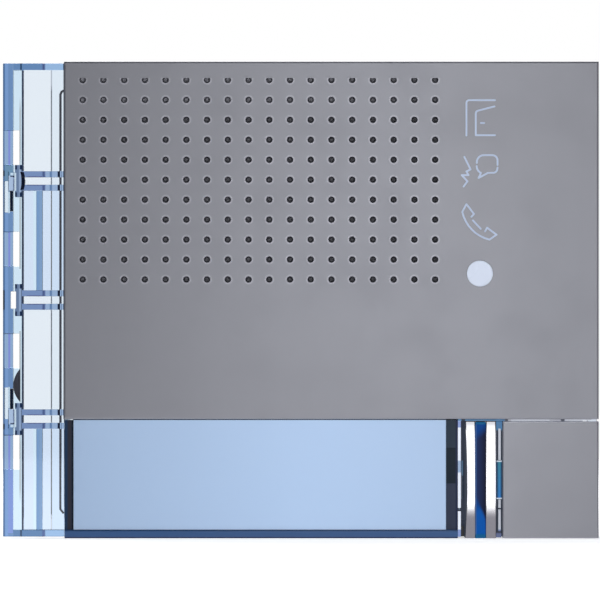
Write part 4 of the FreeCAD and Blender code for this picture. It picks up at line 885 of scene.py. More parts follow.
def strip_places(tree):
    """Places on the ribbed strip in millimetres: across and up it, and from its row lines and stations."""
    places = millimetres(tree, "right", "height")
    height = places["height"]
    across = maths(tree, places["right"], STRIP_LEFT, "SUBTRACT")
    away = maths(tree, height, 0.0, "ABSOLUTE")
    row = maths(tree, wrapped(tree, height, ROW_PITCH), 0.0, "ABSOLUTE")
    outer = maths(tree, away, ROW_PITCH, "SUBTRACT")
    upper = maths(tree, height, ROW_PITCH, "SUBTRACT")
    bow = maths(tree, maths(tree, upper, upper, "MULTIPLY"), BULGE_BOW, "MULTIPLY")
    bowed = maths(tree, across, bow)
    return {"across": across, "height": height, "away": away, "row": row, "outer": outer,
            "upper": upper, "bowed": bowed}


def strip_floors(floors):
    """Tones of the channel and of the panels, bluer in the second and fourth rows, with a painted glint
    beside the upright rib and a painted shadow line along the inner step.
    """
    glint_beside_rib = ("across", 5.8, 6.42, 0.3)
    painted_step_shadow = ("across", 9.14, 9.46, 0.12)
    groove = ("across", 3.1, 3.34, 0.15)
    first_rows = ("away", 6.0, 19.8)
    last_rows = ("away", 26.1, 38.0, 3.0)
    rows = floors.any_of(*BLUE_ROWS)
    floors.lay((206, 228, 246), CHANNEL)
    floors.lay((232, 239, 252), PANEL)
    floors.lay((214, 228, 250), rows, PANEL)
    floors.lay((212, 233, 252), rows, glint_beside_rib)
    floors.lay((206, 212, 224), painted_step_shadow)
    floors.lay((160, 170, 178), groove, first_rows)
    floors.lay((160, 170, 178), groove, last_rows)


def strip_walls(walls):
    """Stripes of the outer wall, lighter where its back is notched and more violet in its lowest part, with
    painted shade along its outer edge.
    """
    lowest = ("height", -45.0, -32.8)
    station = ("height", 20.6, 26.1)
    outer_edge_shade = ("across", -0.5, 0.36)
    outer_stripe = ("across", 0.42, 1.0, 0.2)
    inner_stripe = ("across", 1.02, 1.42, 0.2)
    tick = ("across", -0.5, 0.34)
    notches = walls.any_of(("away", 6.4, 13.2), ("away", 26.1, 32.8))
    walls.lay((112, 144, 188), WALL)
    walls.lay((128, 150, 210), lowest, ("across", 0.5, 1.95))
    walls.lay((80, 114, 158), outer_edge_shade)
    walls.lay((124, 156, 204), outer_stripe)
    walls.lay((142, 170, 206), notches, ("across", 0.3, 1.95))
    walls.lay((128, 142, 212), notches, inner_stripe)
    walls.lay((112, 146, 176), station, ("across", 0.36, 1.95))
    walls.lay((24, 46, 70), tick, ("away", -1.9, 1.9))
    walls.lay((24, 46, 70), tick, ("away", 23.9, 25.0))


def strip_lips(walls):
    """Painted shade: dark lines of the two lips, the inner one broken where the ribs cross it."""
    outer_lip = ("across", 3.6, 3.96)
    inner_lip = ("across", 10.7, 11.8)
    ribs = walls.met(RIB, ("height", -30.0, 30.0))
    between = maths(walls.tree, 1.0, ribs, "SUBTRACT")
    walls.lay((50, 62, 86), outer_lip)
    walls.lay((70, 73, 84), between, inner_lip, ("height", -42.0, 42.0))


def strip_ribs(walls):
    """Tones of the rib pairs, the upright ribs and the end bands, with painted shade in their dark edges,
    dark lines and the dark ticks where they step, and a painted highlight in the shine of the upright ribs.
    """
    ribs = walls.met(RIB, INNER_ROWS)
    rows = walls.any_of(*BLUE_ROWS)
    ends = walls.mask(END_BANDS)
    rib_edge_shade = ("row", 0.7, 0.9, 0.1)
    upright_rib = ("across", 6.42, 7.58)
    upright_shine = ("across", 7.05, 7.58, 0.3)
    lower_end = ("height", -46.5, -44.35)
    full_width = ("across", 1.95, 11.8)
    step = ("across", 7.55, 8.15, 0.2)
    painted_step_shadow = ("across", 9.0, 9.46, 0.15)
    tick = ("across", 10.5, 10.95, 0.15)
    walls.lay((118, 142, 186), ribs, ("across", 3.62, 8.2))
    walls.lay((146, 172, 208), ribs, ("across", 8.2, 11.8))
    walls.lay((84, 92, 140), INNER_ROWS, rib_edge_shade, ("across", 4.6, 8.2, 0.3))
    walls.lay((116, 152, 196), rows, upright_rib)
    walls.lay((124, 156, 196), rows, upright_shine)
    walls.lay((104, 138, 182), ends, full_width)
    walls.lay((96, 130, 172), lower_end, full_width)
    walls.lay((152, 184, 222), ends, ("across", 7.8, 11.8))
    walls.lay((46, 74, 108), ends, ("across", 3.3, 3.66))
    # Painted shade where the ribs step, along their line and at their ticks
    walls.lay((88, 108, 156), walls.any_of(ribs, ends), step)
    walls.lay((96, 126, 168), ribs, painted_step_shadow)
    walls.lay((12, 26, 54), ribs, tick)


def hook_stations(walls):
    """Tones of the hook blocks and the tabs, with painted shade in the blocks' dark ends, the dark lines and
    the dark bulge of the upper station, and painted highlights in the bright lines.
    """
    blocks = walls.met(("row", -1.0, 3.1), INNER_ROWS)
    ends = walls.met(blocks, ("row", 2.2, 3.2))
    upright_highlight = walls.met(("across", 2.34, 2.52, 0.08), ("outer", -1.9, 1.5))
    foot_highlight = walls.met(("across", 1.45, 2.5, 0.08), ("outer", 1.1, 1.55, 0.1))
    upright_shade = walls.met(("across", 2.14, 2.32, 0.08), ("outer", -1.7, 0.7))
    foot_shade = walls.met(("across", 1.4, 2.25, 0.08), ("outer", 0.75, 0.98, 0.1))
    tab = walls.met(("across", 1.0, 2.2), ("outer", -1.95, 1.0))
    spring_highlight = walls.met(("across", 0.98, 1.3, 0.08), ("outer", -6.2, -2.1))
    bulge = walls.met(("bowed", 3.58, 4.3), ("upper", -1.75, 1.75))
    walls.lay((102, 124, 158), blocks, ("across", 2.3, 3.62))
    walls.lay((144, 166, 200), blocks, ("across", 3.1, 3.45, 0.2))
    walls.lay((26, 46, 80), ends, ("across", 2.25, 2.7))
    walls.lay((26, 46, 80), ends, ("across", 3.2, 3.7))
    walls.lay((176, 194, 222), tab)
    # Painted highlights, then painted shade lines and the painted shade of the bulge
    walls.lay((236, 244, 255), walls.any_of(upright_highlight, foot_highlight))
    walls.lay((50, 60, 92), walls.any_of(upright_shade, foot_shade))
    walls.lay((240, 248, 255), spring_highlight)
    walls.lay((4, 12, 34), bulge)


def clear_moulding(tint, depth):
    """Clear light-blue moulding with the tones that its walls, lips, ribs and hook stations show, many of
    them painted light and shade, and a painted shadow along the plate and in the key bay.
    """
    made, tree, shader = new_material("clear blue moulding")
    places = strip_places(tree)
    plain = toned(tree, tint, 0.01, 0.02)
    floors = Layers(tree, plain, floor_tone, **places)
    strip_floors(floors)
    walls = Layers(tree, plain, wall_tone, **places)
    for lay_tones in (strip_walls, strip_lips, strip_ribs, hook_stations):
        lay_tones(walls)
    depth_place = millimetres(tree, "depth")["depth"]
    raised = ramp(tree, depth_place, -4.4, -5.0)
    front = ramp(tree, depth_place, -1.0, -1.4)
    colour = blend_colours(tree, raised, floors.colour, walls.colour)
    whole = Layers(tree, blend_colours(tree, front, plain, colour), wall_tone, **places)
    # Painted shadow along the plate's left edge, and painted shade in the bay under the key
    plate_edge_shadow = ("across", 11.62, 12.6)
    whole.lay((24, 30, 42), plate_edge_shadow, ("height", -23.0, 46.5))
    key_bay_shade = ("across", 88.3, 116.0)
    whole.lay((36, 46, 66), key_bay_shade, ("height", -47.0, -23.5))
    wire(tree, shader.inputs["Base Color"], whole.colour)
    shader.inputs["Transmission Weight"].default_value = 1.0
    shader.inputs["IOR"].default_value = 1.49
    handled(tree, shader, 0.006, 0.02, 0.02)
    absorb = place(tree, "ShaderNodeVolumeAbsorption", {"Color": four(depth), "Density": 90.0})
    tree.links.new(absorb.outputs[0], tree.nodes["Material Output"].inputs["Volume"])
    return made


def lit_edge(name, glow):
    """Pale line where light leaves the front edge of a clear rim: white on the post, blue at its ends; its
    dark marks are painted shade and its paler spots on the seam painted highlights.
    """
    made, tree, shader = new_material(name)
    line = Layers(tree, display_tone(228, 234, 246), display_tone, **millimetres(tree, "right", "height"))
    caps = line.any_of(("height", -24.6, -23.4), ("height", -46.5, -44.3))
    post_middle = ("height", -33.3, -31.0, 0.3)
    seam = line.mask(("height", -23.38, -22.5, 0.05))
    stop = line.mask(("right", 31.02, 31.7, 0.04))
    stop_middle = ("height", -33.9, -30.0, 0.3)
    foot_gap_shadow = line.met(("height", -40.75, -40.15, 0.06), ("right", 30.0, 32.0))
    line.lay((134, 152, 202), caps)
    line.lay((150, 172, 200), post_middle)
    # Painted shade and painted highlights along the seam under the plate
    line.lay((96, 134, 172), seam, ("right", 30.0, 39.4))
    line.lay((188, 190, 200), seam, ("right", 39.4, 58.0))
    for low, high in ((40.6, 48.0), (51.0, 57.4)):
        line.lay((212, 216, 226), seam, ("right", low, high, 0.2))
    for low, high in ((39.4, 40.0), (50.2, 50.9)):
        line.lay((84, 86, 98), seam, ("right", low, high, 0.2))
    # Painted shade on the stop, which glows dimly, and a painted shadow in the gap at the post's foot
    line.lay((50, 60, 76), stop)
    line.lay((76, 106, 134), stop, stop_middle)
    line.lay((26, 30, 48), foot_gap_shadow)
    wire(tree, shader.inputs["Base Color"], scaled(tree, line.colour, 0.55))
    glowing(tree, shader, line.colour, glow)
    shader.inputs["Specular IOR Level"].default_value = 0.2
    handled(tree, shader, 0.004, 0.1, 0.25)
    return made


def light_line(bright):
    """Blue light line of the call key: bright at both ends, navy between, with a wedge of light below."""
    made, tree, shader = new_material("light line")
    low, high = KEY_GUIDE
    height = millimetres(tree, "height")["height"]
    across = ramp(tree, axes(tree)["X"], low.x, high.x)
    navy = blend_colours(tree, across, (0.0117, 0.025, 0.092, 1.0), (0.0055, 0.007, 0.022, 1.0))
    lifted = maths(tree, height, maths(tree, across, 4.8, "MULTIPLY"))
    wedge = ramp(tree, lifted, -37.0, -38.4)
    lowered = maths(tree, height, maths(tree, across, 1.6, "MULTIPLY"), "SUBTRACT")
    top = ramp(tree, lowered, -27.4, -25.6)
    lit = maths(tree, wedge, top, "MAXIMUM")
    line = Layers(tree, blend_colours(tree, lit, navy, four(bright)), height=height, across=across)
    lower_wedge = line.met(wedge, ("height", -47.0, -40.2, 1.5))
    left_edge = ("across", -0.2, 0.10, 0.1)
    ends = line.any_of(("height", -46.4, -45.2, 0.4), ("height", -24.0, -23.0, 0.3))
    line.lay((0.002, 0.070, 0.310), lower_wedge)
    line.lay((0.05, 0.12, 0.30), left_edge)
    line.lay((0.006, 0.085, 0.20), ends)
    wire(tree, shader.inputs["Base Color"], line.colour)
    glowing(tree, shader, line.colour, 0.45)
    handled(tree, shader, 0.004, 0.05, 0.08)
    shader.inputs["Specular IOR Level"].default_value = 0.05
    return made


def lit_navy():
    """Navy moulding of the key's rocker, faintly lit through from the lamps behind it."""
    made = surface("key navy", (0.022, 0.030, 0.050), 0.3, specular=0.3)
    tree, shader = opened(made)
    dark = toned(tree, (0.016, 0.021, 0.034), 0.004, 0.1)
    glow = Layers(tree, dark, display_tone, **millimetres(tree, "right", "height"))
    beside_tile = ("right", 37.72, 38.88)
    upper_end = ("height", -25.1, -23.2, 0.3)
    lower_end = ("height", -46.4, -45.0, 0.2)
    glow.lay((66, 112, 154), beside_tile, upper_end)
    glow.lay((84, 94, 130), beside_tile, lower_end)
    glowing(tree, shader, glow.colour, 1.0)
    return made


def woven_cloth():
    """Dark grey acoustic cloth in plain weave, paler along its top and its left, where light gets in."""
    made, tree, shader = new_material("acoustic cloth")
    parts = axes(tree)
    warp, weft = (wave(tree, parts[axis], THREAD_PITCH) for axis in "XZ")
    crossed = maths(tree, warp, weft, "MULTIPLY")
    height = maths(tree, maths(tree, crossed, 0.5, "MULTIPLY"), 0.5)
    thread = ramp(tree, height, 0.0, 1.0, 0.72, 1.12)
    across = ramp(tree, parts["X"], CLOTH[0].x, CLOTH[1].x, 1.2, 0.5)
    dim, lit = CLOTH[1].z - 6.8 * MM, CLOTH[1].z - 3.4 * MM
    up = ramp(tree, parts["Z"], dim, lit, 0.9, 1.75)
    shade = maths(tree, maths(tree, across, up, "MULTIPLY"), thread, "MULTIPLY")
    plain = toned(tree, (0.30, 0.30, 0.33), 0.01, 0.06)
    wire(tree, shader.inputs["Base Color"], scaled(tree, plain, shade))
    shader.inputs["Roughness"].default_value = 0.9
    shader.inputs["Sheen Weight"].default_value = 0.2
    bumped(tree, shader, height, THREAD_DEPTH)
    return made


def foam():
    """Black closed-cell foam with fine open pores on its skin."""
    made, tree, shader = new_material("foam")
    cells = place(tree, "ShaderNodeTexVoronoi", {"Vector": object_place(tree), "Scale": 1.0 / PORE_SIZE})
    pores = ramp(tree, cells.outputs["Distance"], 0.0, 0.5)
    plain = toned(tree, (0.030, 0.030, 0.033), 0.006, 0.1)
    wire(tree, shader.inputs["Base Color"], scaled(tree, plain, ramp(tree, pores, 0.0, 1.0, 0.5, 1.1)))
    shader.inputs["Roughness"].default_value = 0.95
    bumped(tree, shader, pores, PORE_DEPTH)
    return made


def circuit_board():
    """Green solder mask with straight copper tracks that show through it."""
    made = surface("circuit board", (0.010, 0.085, 0.035), 0.32, grain_depth=0.000004)
    tree, shader = opened(made)
    parts = axes(tree)
    tracks = 0.0
    for axis, pitch, low in (("X", 1.9 * MM, 0.50), ("Z", 1.6 * MM, 0.56)):
        line = ramp(tree, wave(tree, parts[axis], pitch), 0.80, 0.88)
        stretch = (1.0, 1.0, 0.25) if axis == "X" else (0.25, 1.0, 1.0)
        patch = ramp(tree, object_noise(tree, 4.0 * MM, 0.0, stretch), low, low + 0.01)
        tracks = maths(tree, tracks, maths(tree, line, patch, "MULTIPLY"), "MAXIMUM")
    masked = blend_colours(tree, tracks, colour_before(shader), (0.035, 0.20, 0.07, 1.0))
    wire(tree, shader.inputs["Base Color"], masked)
    return made


def ringed(name, colour, roughness, metallic, pitch, centre):
    """A finish with fine rings round an axis along Y through a centre, as on a paper cone."""
    made, tree, shader = new_material(name)
    centred = vector_of(tree, object_place(tree), (centre[0], 0.0, centre[1]), "SUBTRACT")
    flat = vector_of(tree, centred, (1.0, 0.0, 1.0), "MULTIPLY")
    away = place(tree, "ShaderNodeVectorMath", {0: flat}, operation="LENGTH").outputs["Value"]
    wire(tree, shader.inputs["Base Color"], toned(tree, colour, 0.004, 0.12))
    shader.inputs["Metallic"].default_value = metallic
    handled(tree, shader, 0.004, 0.1, roughness)
    bumped(tree, shader, wave(tree, away, pitch), RING_DEPTH)
    return made


def wound(name, colour, pitch):
    """Enamelled copper wire wound in close turns along Y."""
    made, tree, shader = new_material(name)
    turns = wave(tree, axes(tree)["Y"], pitch)
    shade = ramp(tree, turns, -1.0, 1.0, 0.45, 1.0)
    wire(tree, shader.inputs["Base Color"], scaled(tree, toned(tree, colour, 0.003, 0.08), shade))
    shader.inputs["Metallic"].default_value = 1.0
    handled(tree, shader, 0.003, 0.08, 0.28)
    bumped(tree, shader, turns, pitch / 3.0)
    return made


def shell_black(colour):
    """Textured black moulding of the housing, slate where the key's lamps light it behind the key."""
    made = surface("shell black", colour, 0.5, rub=0.15, dust=0.1)
    tree, shader = opened(made)
    glow = Layers(tree, BLACK, **millimetres(tree, "right", "depth", "height"))
    behind_key = glow.met(("right", 30.4, 57.0), ("height", -46.0, -23.3))
    seats = glow.any_of(("depth", -4.5, -3.9), ("depth", -2.3, -1.7))
    glow.lay((0.027, 0.033, 0.053), behind_key, seats)
    glowing(tree, shader, glow.colour, 1.0)
    return made


def clip_blue():
    """Glassy blue clip of the saddle, teal at its upper end, with dark sides of painted shade and pale ends
    of painted highlight, glowing faintly as painted light.
    """
    made, tree, shader = new_material("clip blue")
    low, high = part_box("saddle_clip")
    parts = axes(tree)
    up = ramp(tree, parts["Z"], low.z, high.z)
    right = ramp(tree, parts["X"], low.x, high.x)
    colour = blend_colours(tree, up, (0.02, 0.17, 0.50, 1.0), (0.03, 0.21, 0.27, 1.0))
    colour = blend_colours(tree, band(tree, right, 0.28, 0.78, 0.25), (0.004, 0.05, 0.13, 1.0), colour)
    clip = Layers(tree, colour, up=up)
    ends = clip.any_of(("up", -0.2, 0.03, 0.02), ("up", 0.97, 1.2, 0.02))
    clip.lay((0.60, 0.68, 0.78), ends)
    wire(tree, shader.inputs["Base Color"], clip.colour)
    glowing(tree, shader, clip.colour, 0.3)
    shader.inputs["Specular IOR Level"].default_value = 0.2
    handled(tree, shader, 0.003, 0.05, 0.2)
    return made


def rail_blue():
    """Blue rail under the window, darker along its upper and lower edges."""
    made, tree, shader = new_material("rail blue")
    rail = Layers(tree, toned(tree, (0.043, 0.112, 0.275), 0.02, 0.04), **millimetres(tree, "height"))
    upper_edge = ("height", -44.6, -44.0, 0.2)
    lower_edge = ("height", -46.5, -45.75, 0.1)
    rail.lay((0.022, 0.060, 0.15), upper_edge)
    rail.lay((0.003, 0.014, 0.07), lower_edge)
    wire(tree, shader.inputs["Base Color"], rail.colour)
    shader.inputs["Specular IOR Level"].default_value = 0.25
    handled(tree, shader, 0.006, 0.05, 0.15)
    return made


def smoked_trim():
    """Painted shade at the dark ends of the window, where the gaps beside the label lie in shadow: navy to
    brown-grey on the left, slate and paler below on the right.
    """
    made, tree, shader = new_material("window end shade")
    trim = Layers(tree, (0.014, 0.038, 0.090, 1.0), **millimetres(tree, "right", "height"))
    left_middle = ("right", -45.0, -44.2, 0.3)
    left_inner = ("right", -44.2, -43.0, 0.15)
    right_end = ("right", 27.0, 31.0)
    right_outer = ("right", 29.9, 31.0, 0.15)
    middle_part = ("height", -35.4, -28.5)
    lower_part = ("height", -46.0, -35.4)
    trim.lay((0.030, 0.030, 0.044), left_middle)
    trim.lay((0.004, 0.008, 0.018), left_inner)
    trim.lay((0.021, 0.038, 0.063), right_end)
    trim.lay((0.003, 0.013, 0.026), right_end, middle_part)
    trim.lay((0.032, 0.043, 0.080), right_end, lower_part)
    trim.lay((0.012, 0.020, 0.060), right_outer)
    wire(tree, shader.inputs["Base Color"], trim.colour)
    shader.inputs["Specular IOR Level"].default_value = 0.15
    handled(tree, shader, 0.006, 0.05, 0.2)
    return made


def chrome():
    """Bright chrome with a faint haze, hazier at its lower end; the grey at its lower end and faintly at its
    top is painted shade in its reflection.
    """
    made, tree, shader = new_material("chrome")
    height = axes(tree)["Z"]
    low = ramp(tree, height, -38.6 * MM, -42.2 * MM, kind="SMOOTHSTEP")
    top = ramp(tree, height, -25.4 * MM, -23.6 * MM, kind="SMOOTHSTEP")
    bright = toned(tree, (0.93, 0.93, 0.95), 0.01, 0.01)
    colour = blend_colours(tree, top, bright, (0.44, 0.44, 0.47, 1.0))
    colour = blend_colours(tree, low, colour, (0.262, 0.255, 0.285, 1.0))
    wire(tree, shader.inputs["Base Color"], colour)
    shader.inputs["Metallic"].default_value = 1.0
    haze = maths(tree, low, 0.16, "MULTIPLY")
    handled(tree, shader, 0.004, 0.04, maths(tree, haze, 0.06))
    return made


def window_clear():
    """Clear, faintly hazy cover of the name window."""
    made, tree, shader = new_material("window cover")
    wire(tree, shader.inputs["Base Color"], toned(tree, (0.97, 0.99, 1.0), 0.02, 0.01))
    shader.inputs["Transmission Weight"].default_value = 1.0
    shader.inputs["Specular IOR Level"].default_value = 0.15
    shader.inputs["Roughness"].default_value = 0.3
    return made


# Shaped pieces and operators

def chrome_bar(name, left, right, waist):
    """One bar of the saddle: waisted on its left, crowned in front, falling back at both ends."""
    low, high = KEY_CHROME
    piece = block(name, (left, low.y, low.z), (right, high.y, high.z))
    choose(piece, "EDGE", lambda first, second: abs(first.z - second.z) > LONG_EDGE)
    bpy.ops.mesh.subdivide(number_cuts=BAR_RINGS)
    bpy.ops.object.mode_set(mode="OBJECT")
    middle = (low.z + high.z) / 2
    half = (high.z - low.z) / 2
    front = (low.y + high.y) / 2
    for level in sorted({round(vertex.co.z, 5) for vertex in piece.data.vertices}):
        bow = waist * (1.0 - ((level - middle) / half) ** 2)
        below = max(0.0, 1.0 - (level - low.z) / LOW_FALL[1])
        above = max(0.0, 1.0 - (high.z - level) / TOP_FALL[1])
        back = LOW_FALL[0] * below ** 2 + TOP_FALL[0] * above ** 2
        choose(piece, "VERT", lambda co: abs(co.z - level) < TOLERANCE and co.x < (left + right) / 2)
        bpy.ops.transform.translate(value=(bow, 0.0, 0.0))
        choose(piece, "VERT", lambda co: abs(co.z - level) < TOLERANCE and co.y < front)
        bpy.ops.transform.translate(value=(0.0, back, 0.0))
        bpy.ops.object.mode_set(mode="OBJECT")
    choose(piece, "EDGE", lambda first, second: abs(first.z - second.z) > TOLERANCE
           and max(first.y, second.y) < front and abs(first.x - second.x) < SLANT)
    bpy.ops.mesh.bevel(offset=SADDLE_CROWN, segments=CROWN_SEGMENTS, profile=0.5)
    bpy.ops.object.mode_set(mode="OBJECT")
    return piece


def saddle_bridge(name, low_z):
    """One cross piece that joins the saddle's bars behind the light line."""
    back = KEY_CHROME[1].y
    return block(name, (KEY_GUIDE[0].x - BRIDGE_OVERLAP, back - BRIDGE_THICKNESS, low_z),
                 (KEY_GUIDE[1].x + BRIDGE_OVERLAP, back, low_z + BRIDGE_HEIGHT))


class INTERCOM_OT_metal_face(bpy.types.Operator):
    """Finishes the metal face and the key tile"""

    bl_idname = "intercom.metal_face"
    bl_label = "Metal face"

    def execute(self, context):
        colours = context.scene.intercom_colours
        plate = satin_metal("satin metal", colours.face_metal, PLATE_PAINTED_LIGHT)
        dress(burnished_rims(plate), "front_plate")
        tile = satin_metal("satin tile", colours.face_metal, TILE_PAINTED_LIGHT)
        piece = softened("key_cap", "key_tile", tile, context.scene.intercom_edges.tile, segments=3)
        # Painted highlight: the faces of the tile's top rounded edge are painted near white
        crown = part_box("key_cap")[1].z - TILE_CROWN
        flat, steep = CROWN_NORMALS
        paint_faces(piece, satin_metal("painted crown highlight", (0.93, 0.94, 0.99), ()),
                    lambda centre, normal: centre.z > crown and flat < normal.y < steep)
        return {"FINISHED"}


class INTERCOM_OT_clear_moulding(bpy.types.Operator):
    """Finishes the clear carrier and the rail"""

    bl_idname = "intercom.clear_moulding"
    bl_label = "Clear moulding"

    def execute(self, context):
        colours = context.scene.intercom_colours
        clear = clear_moulding(colours.clear_tint, colours.clear_depth)
        carrier = copied("front_carrier", "clear_carrier")
        soften(carrier, context.scene.intercom_edges.clear, even=True)
        settle(carrier, clear, "front_carrier")
        glow = lit_edge("lit edge", 0.6)
        paint_faces(carrier, glow, lambda centre, normal: centre.x > POST_LEFT and centre.z < SEAM_HEIGHT
                    and centre.y < CARRIER[0].y + RIM_DEPTH)
        # The stop's front faces glow dimly with the same material, as painted light in their shade
        paint_faces(carrier, glow, lambda centre, normal: STOP_LEFT < centre.x < STOP_RIGHT
                    and STOP_LOW < centre.z < STOP_HIGH and centre.y < STOP_FRONT)
        dress(rail_blue(), "bottom_rail")
        dress(surface("spring steel", (0.008, 0.016, 0.036), 0.3, metallic=1.0), "hook_springs")
        dress(surface("bumper rubber", (0.058, 0.062, 0.085), 0.6), "edge_bumper")
        return {"FINISHED"}


class INTERCOM_OT_name_window(bpy.types.Operator):
    """Finishes the name window, its label and its dark ends"""

    bl_idname = "intercom.name_window"
    bl_label = "Name window"

    def execute(self, context):
        dress(label_film(context.scene.intercom_colours.window_blue), "name_label")
        dress(surface("opal diffuser", (0.75, 0.78, 0.82), 0.5), "label_diffuser")
        low, high = WINDOW
        piece = block("window_cover", low, high - Vector((0.0, WINDOW_AIR, 0.0)))
        soften(piece, context.scene.intercom_edges.window)
        settle(piece, window_clear(), "name_window")
        # Painted shade on the window's dark end trims
        dress(smoked_trim(), "window_trim_left", "window_trim_right")
        return {"FINISHED"}


class INTERCOM_OT_pictograms(bpy.types.Operator):
    """Finishes the pictogram light guides and the sensor lens"""

    bl_idname = "intercom.pictograms"
    bl_label = "Pictograms"

    def execute(self, context):
        dress(surface("opal guide", (0.52, 0.61, 0.79), 0.35, drift=0.02),
              "door_icon_guide", "talk_icon_guide", "handset_icon_guide")
        dress(surface("sensor opal", (0.72, 0.79, 0.93), 0.25, drift=0.01), "sensor_lens")
        return {"FINISHED"}


class INTERCOM_OT_call_key(bpy.types.Operator):
    """Finishes the call key and the switch under it"""

    bl_idname = "intercom.call_key"
    bl_label = "Call key"

    def execute(self, context):
        chrome_low, chrome_high = KEY_CHROME
        saddle = join("chrome_saddle", [
            chrome_bar("outer_bar", chrome_low.x, KEY_GUIDE[0].x, SADDLE_WAIST),
            chrome_bar("inner_bar", KEY_GUIDE[1].x, chrome_high.x, 0.0),
            saddle_bridge("low_bridge", chrome_low.z),
            saddle_bridge("high_bridge", chrome_high.z - BRIDGE_HEIGHT)])
        smooth(saddle)
        settle(saddle, chrome(), "key_chrome")
        bright = context.scene.intercom_colours.light_line
        softened("key_light_guide", "light_line", light_line(bright), LIGHT_LINE_EDGE, segments=3)
        body = softened("key_body", "key_carrier", lit_navy(), KEY_EDGE)
        paint_faces(body, lit_edge("lit rib", 0.27), lambda centre, normal:
                    LIT_RIB_LEFT < centre.x < LIT_RIB_RIGHT and centre.y < LIT_RIB_FRONT)
        dress(clip_blue(), "saddle_clip")
        steel = surface("bright steel", (0.6, 0.6, 0.6), 0.25, metallic=1.0)
        dress(steel, "key_hinge_pin")
        leaf = copied("key_leaf_spring", "leaf_spring")
        choose(leaf, "EDGE", lambda first, second: abs(first.z - second.z) < TOLERANCE)
        bpy.ops.mesh.subdivide(number_cuts=LEAF_CUTS)
        bpy.ops.object.mode_set(mode="OBJECT")
        soften(leaf, LEAF_EDGE)
        coat(leaf, steel)
        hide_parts("key_leaf_spring")
        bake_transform(leaf)
        dress(surface("switch black", (0.03, 0.03, 0.03), 0.4), "key_switch_body")
        dress(surface("switch cream", (0.7, 0.68, 0.6), 0.4), "key_switch_plunger")
        dress(surface("lamp", (0.8, 0.8, 0.75), 0.2), "key_led", "icon_leds", "label_leds")
        return {"FINISHED"}


class INTERCOM_OT_loudspeaker(bpy.types.Operator):
    """Finishes the loudspeaker, its cloth and the microphone"""

    bl_idname = "intercom.loudspeaker"
    bl_label = "Loudspeaker"

    def execute(self, context):
        low, high = CLOTH
        wide, tall = high.x - low.x + CLOTH_SPREAD, high.z - low.z + CLOTH_SPREAD
        bpy.ops.object.select_all(action="DESELECT")
        bpy.ops.mesh.primitive_grid_add(x_subdivisions=CLOTH_COLUMNS, y_subdivisions=CLOTH_ROWS, size=1.0,
                                        location=(low + high) / 2, rotation=(math.radians(90.0), 0.0, 0.0))
        cloth = bpy.context.object
        cloth.name = "acoustic_cloth"
        cloth.scale = (wide, tall, 1.0)
        at_origin(cloth)
        thicken(cloth, CLOTH_THICKNESS)
        settle(cloth, woven_cloth(), "speaker_mesh")
        black_foam = foam()
        softened("speaker_gasket", "foam_ring", black_foam, RING_EDGE, segments=3)
        softened("shell_gasket", "foam_seal", black_foam, SEAL_EDGE)
        centre = rear_middle(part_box("speaker_cone"))
        dress(surface("speaker steel", (0.35, 0.35, 0.36), 0.35, metallic=1.0, grain_depth=0.00002),
              "speaker_basket")
        dress(ringed("paper cone", (0.045, 0.043, 0.040), 0.8, 0.0, CONE_RINGS, centre), "speaker_cone")
        dress(surface("moulded rubber", (0.02, 0.02, 0.02), 0.5, grain_size=0.0002),
              "speaker_surround", "mic_boot")
        dress(surface("ferrite", (0.06, 0.06, 0.06), 0.5, metallic=0.5, rub=0.3, rub_colour=(0.2, 0.2, 0.2)),
              "speaker_magnet")
        dress(wound("voice wire", (0.72, 0.30, 0.14), VOICE_WIRE), "voice_coil")
        centre = rear_middle(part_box("mic_capsule"))
        dress(ringed("capsule metal", (0.6, 0.6, 0.61), 0.3, 1.0, CAPSULE_RINGS, centre), "mic_capsule")
        return {"FINISHED"}


class INTERCOM_OT_boards(bpy.types.Operator):
    """Finishes the circuit boards and what is on them"""

    bl_idname = "intercom.boards"
    bl_label = "Boards"

    def execute(self, context):
        dress(circuit_board(), "main_board", "bus_board")
        black = surface("chip black", (0.02, 0.02, 0.02), 0.45, grain_size=0.00015)
        dress(black, "light_sensor", "processor_chip", "audio_chip", "board_header")
        drum = softened("bus_inductor", "wound_inductor", black, COIL_EDGE)
        low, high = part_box("bus_inductor")
        middle, reach = rear_middle((low, high)), (high.x - low.x) / 2 - COIL_FLANGE
        paint_faces(drum, wound("coil wire", (0.70, 0.28, 0.12), COIL_WIRE), lambda centre, normal:
                    math.hypot(centre.x - middle[0], centre.z - middle[1]) < reach and abs(normal.y) < 0.5)
        sleeve = surface("capacitor sleeve", (0.02, 0.025, 0.05), 0.3)
        cans = softened("bus_capacitors", "sleeved_capacitors", sleeve, CAN_EDGE)
        paint_faces(cans, surface("capacitor top", (0.62, 0.63, 0.65), 0.3, metallic=1.0),
                    lambda centre, normal: normal.y < -0.6)
        dress(surface("screw zinc", (0.6, 0.58, 0.52), 0.3, metallic=1.0), "board_screws", "shell_screws")
        return {"FINISHED"}


class INTERCOM_OT_housing(bpy.types.Operator):
    """Finishes the moulded shells"""

    bl_idname = "intercom.housing"
    bl_label = "Housing"

    def execute(self, context):
        black = shell_black(context.scene.intercom_colours.shell)
        for node, name in (("front_shell", "front_housing"), ("rear_shell", "rear_housing")):
            softened(node, name, black, context.scene.intercom_edges.shell)
        return {"FINISHED"}


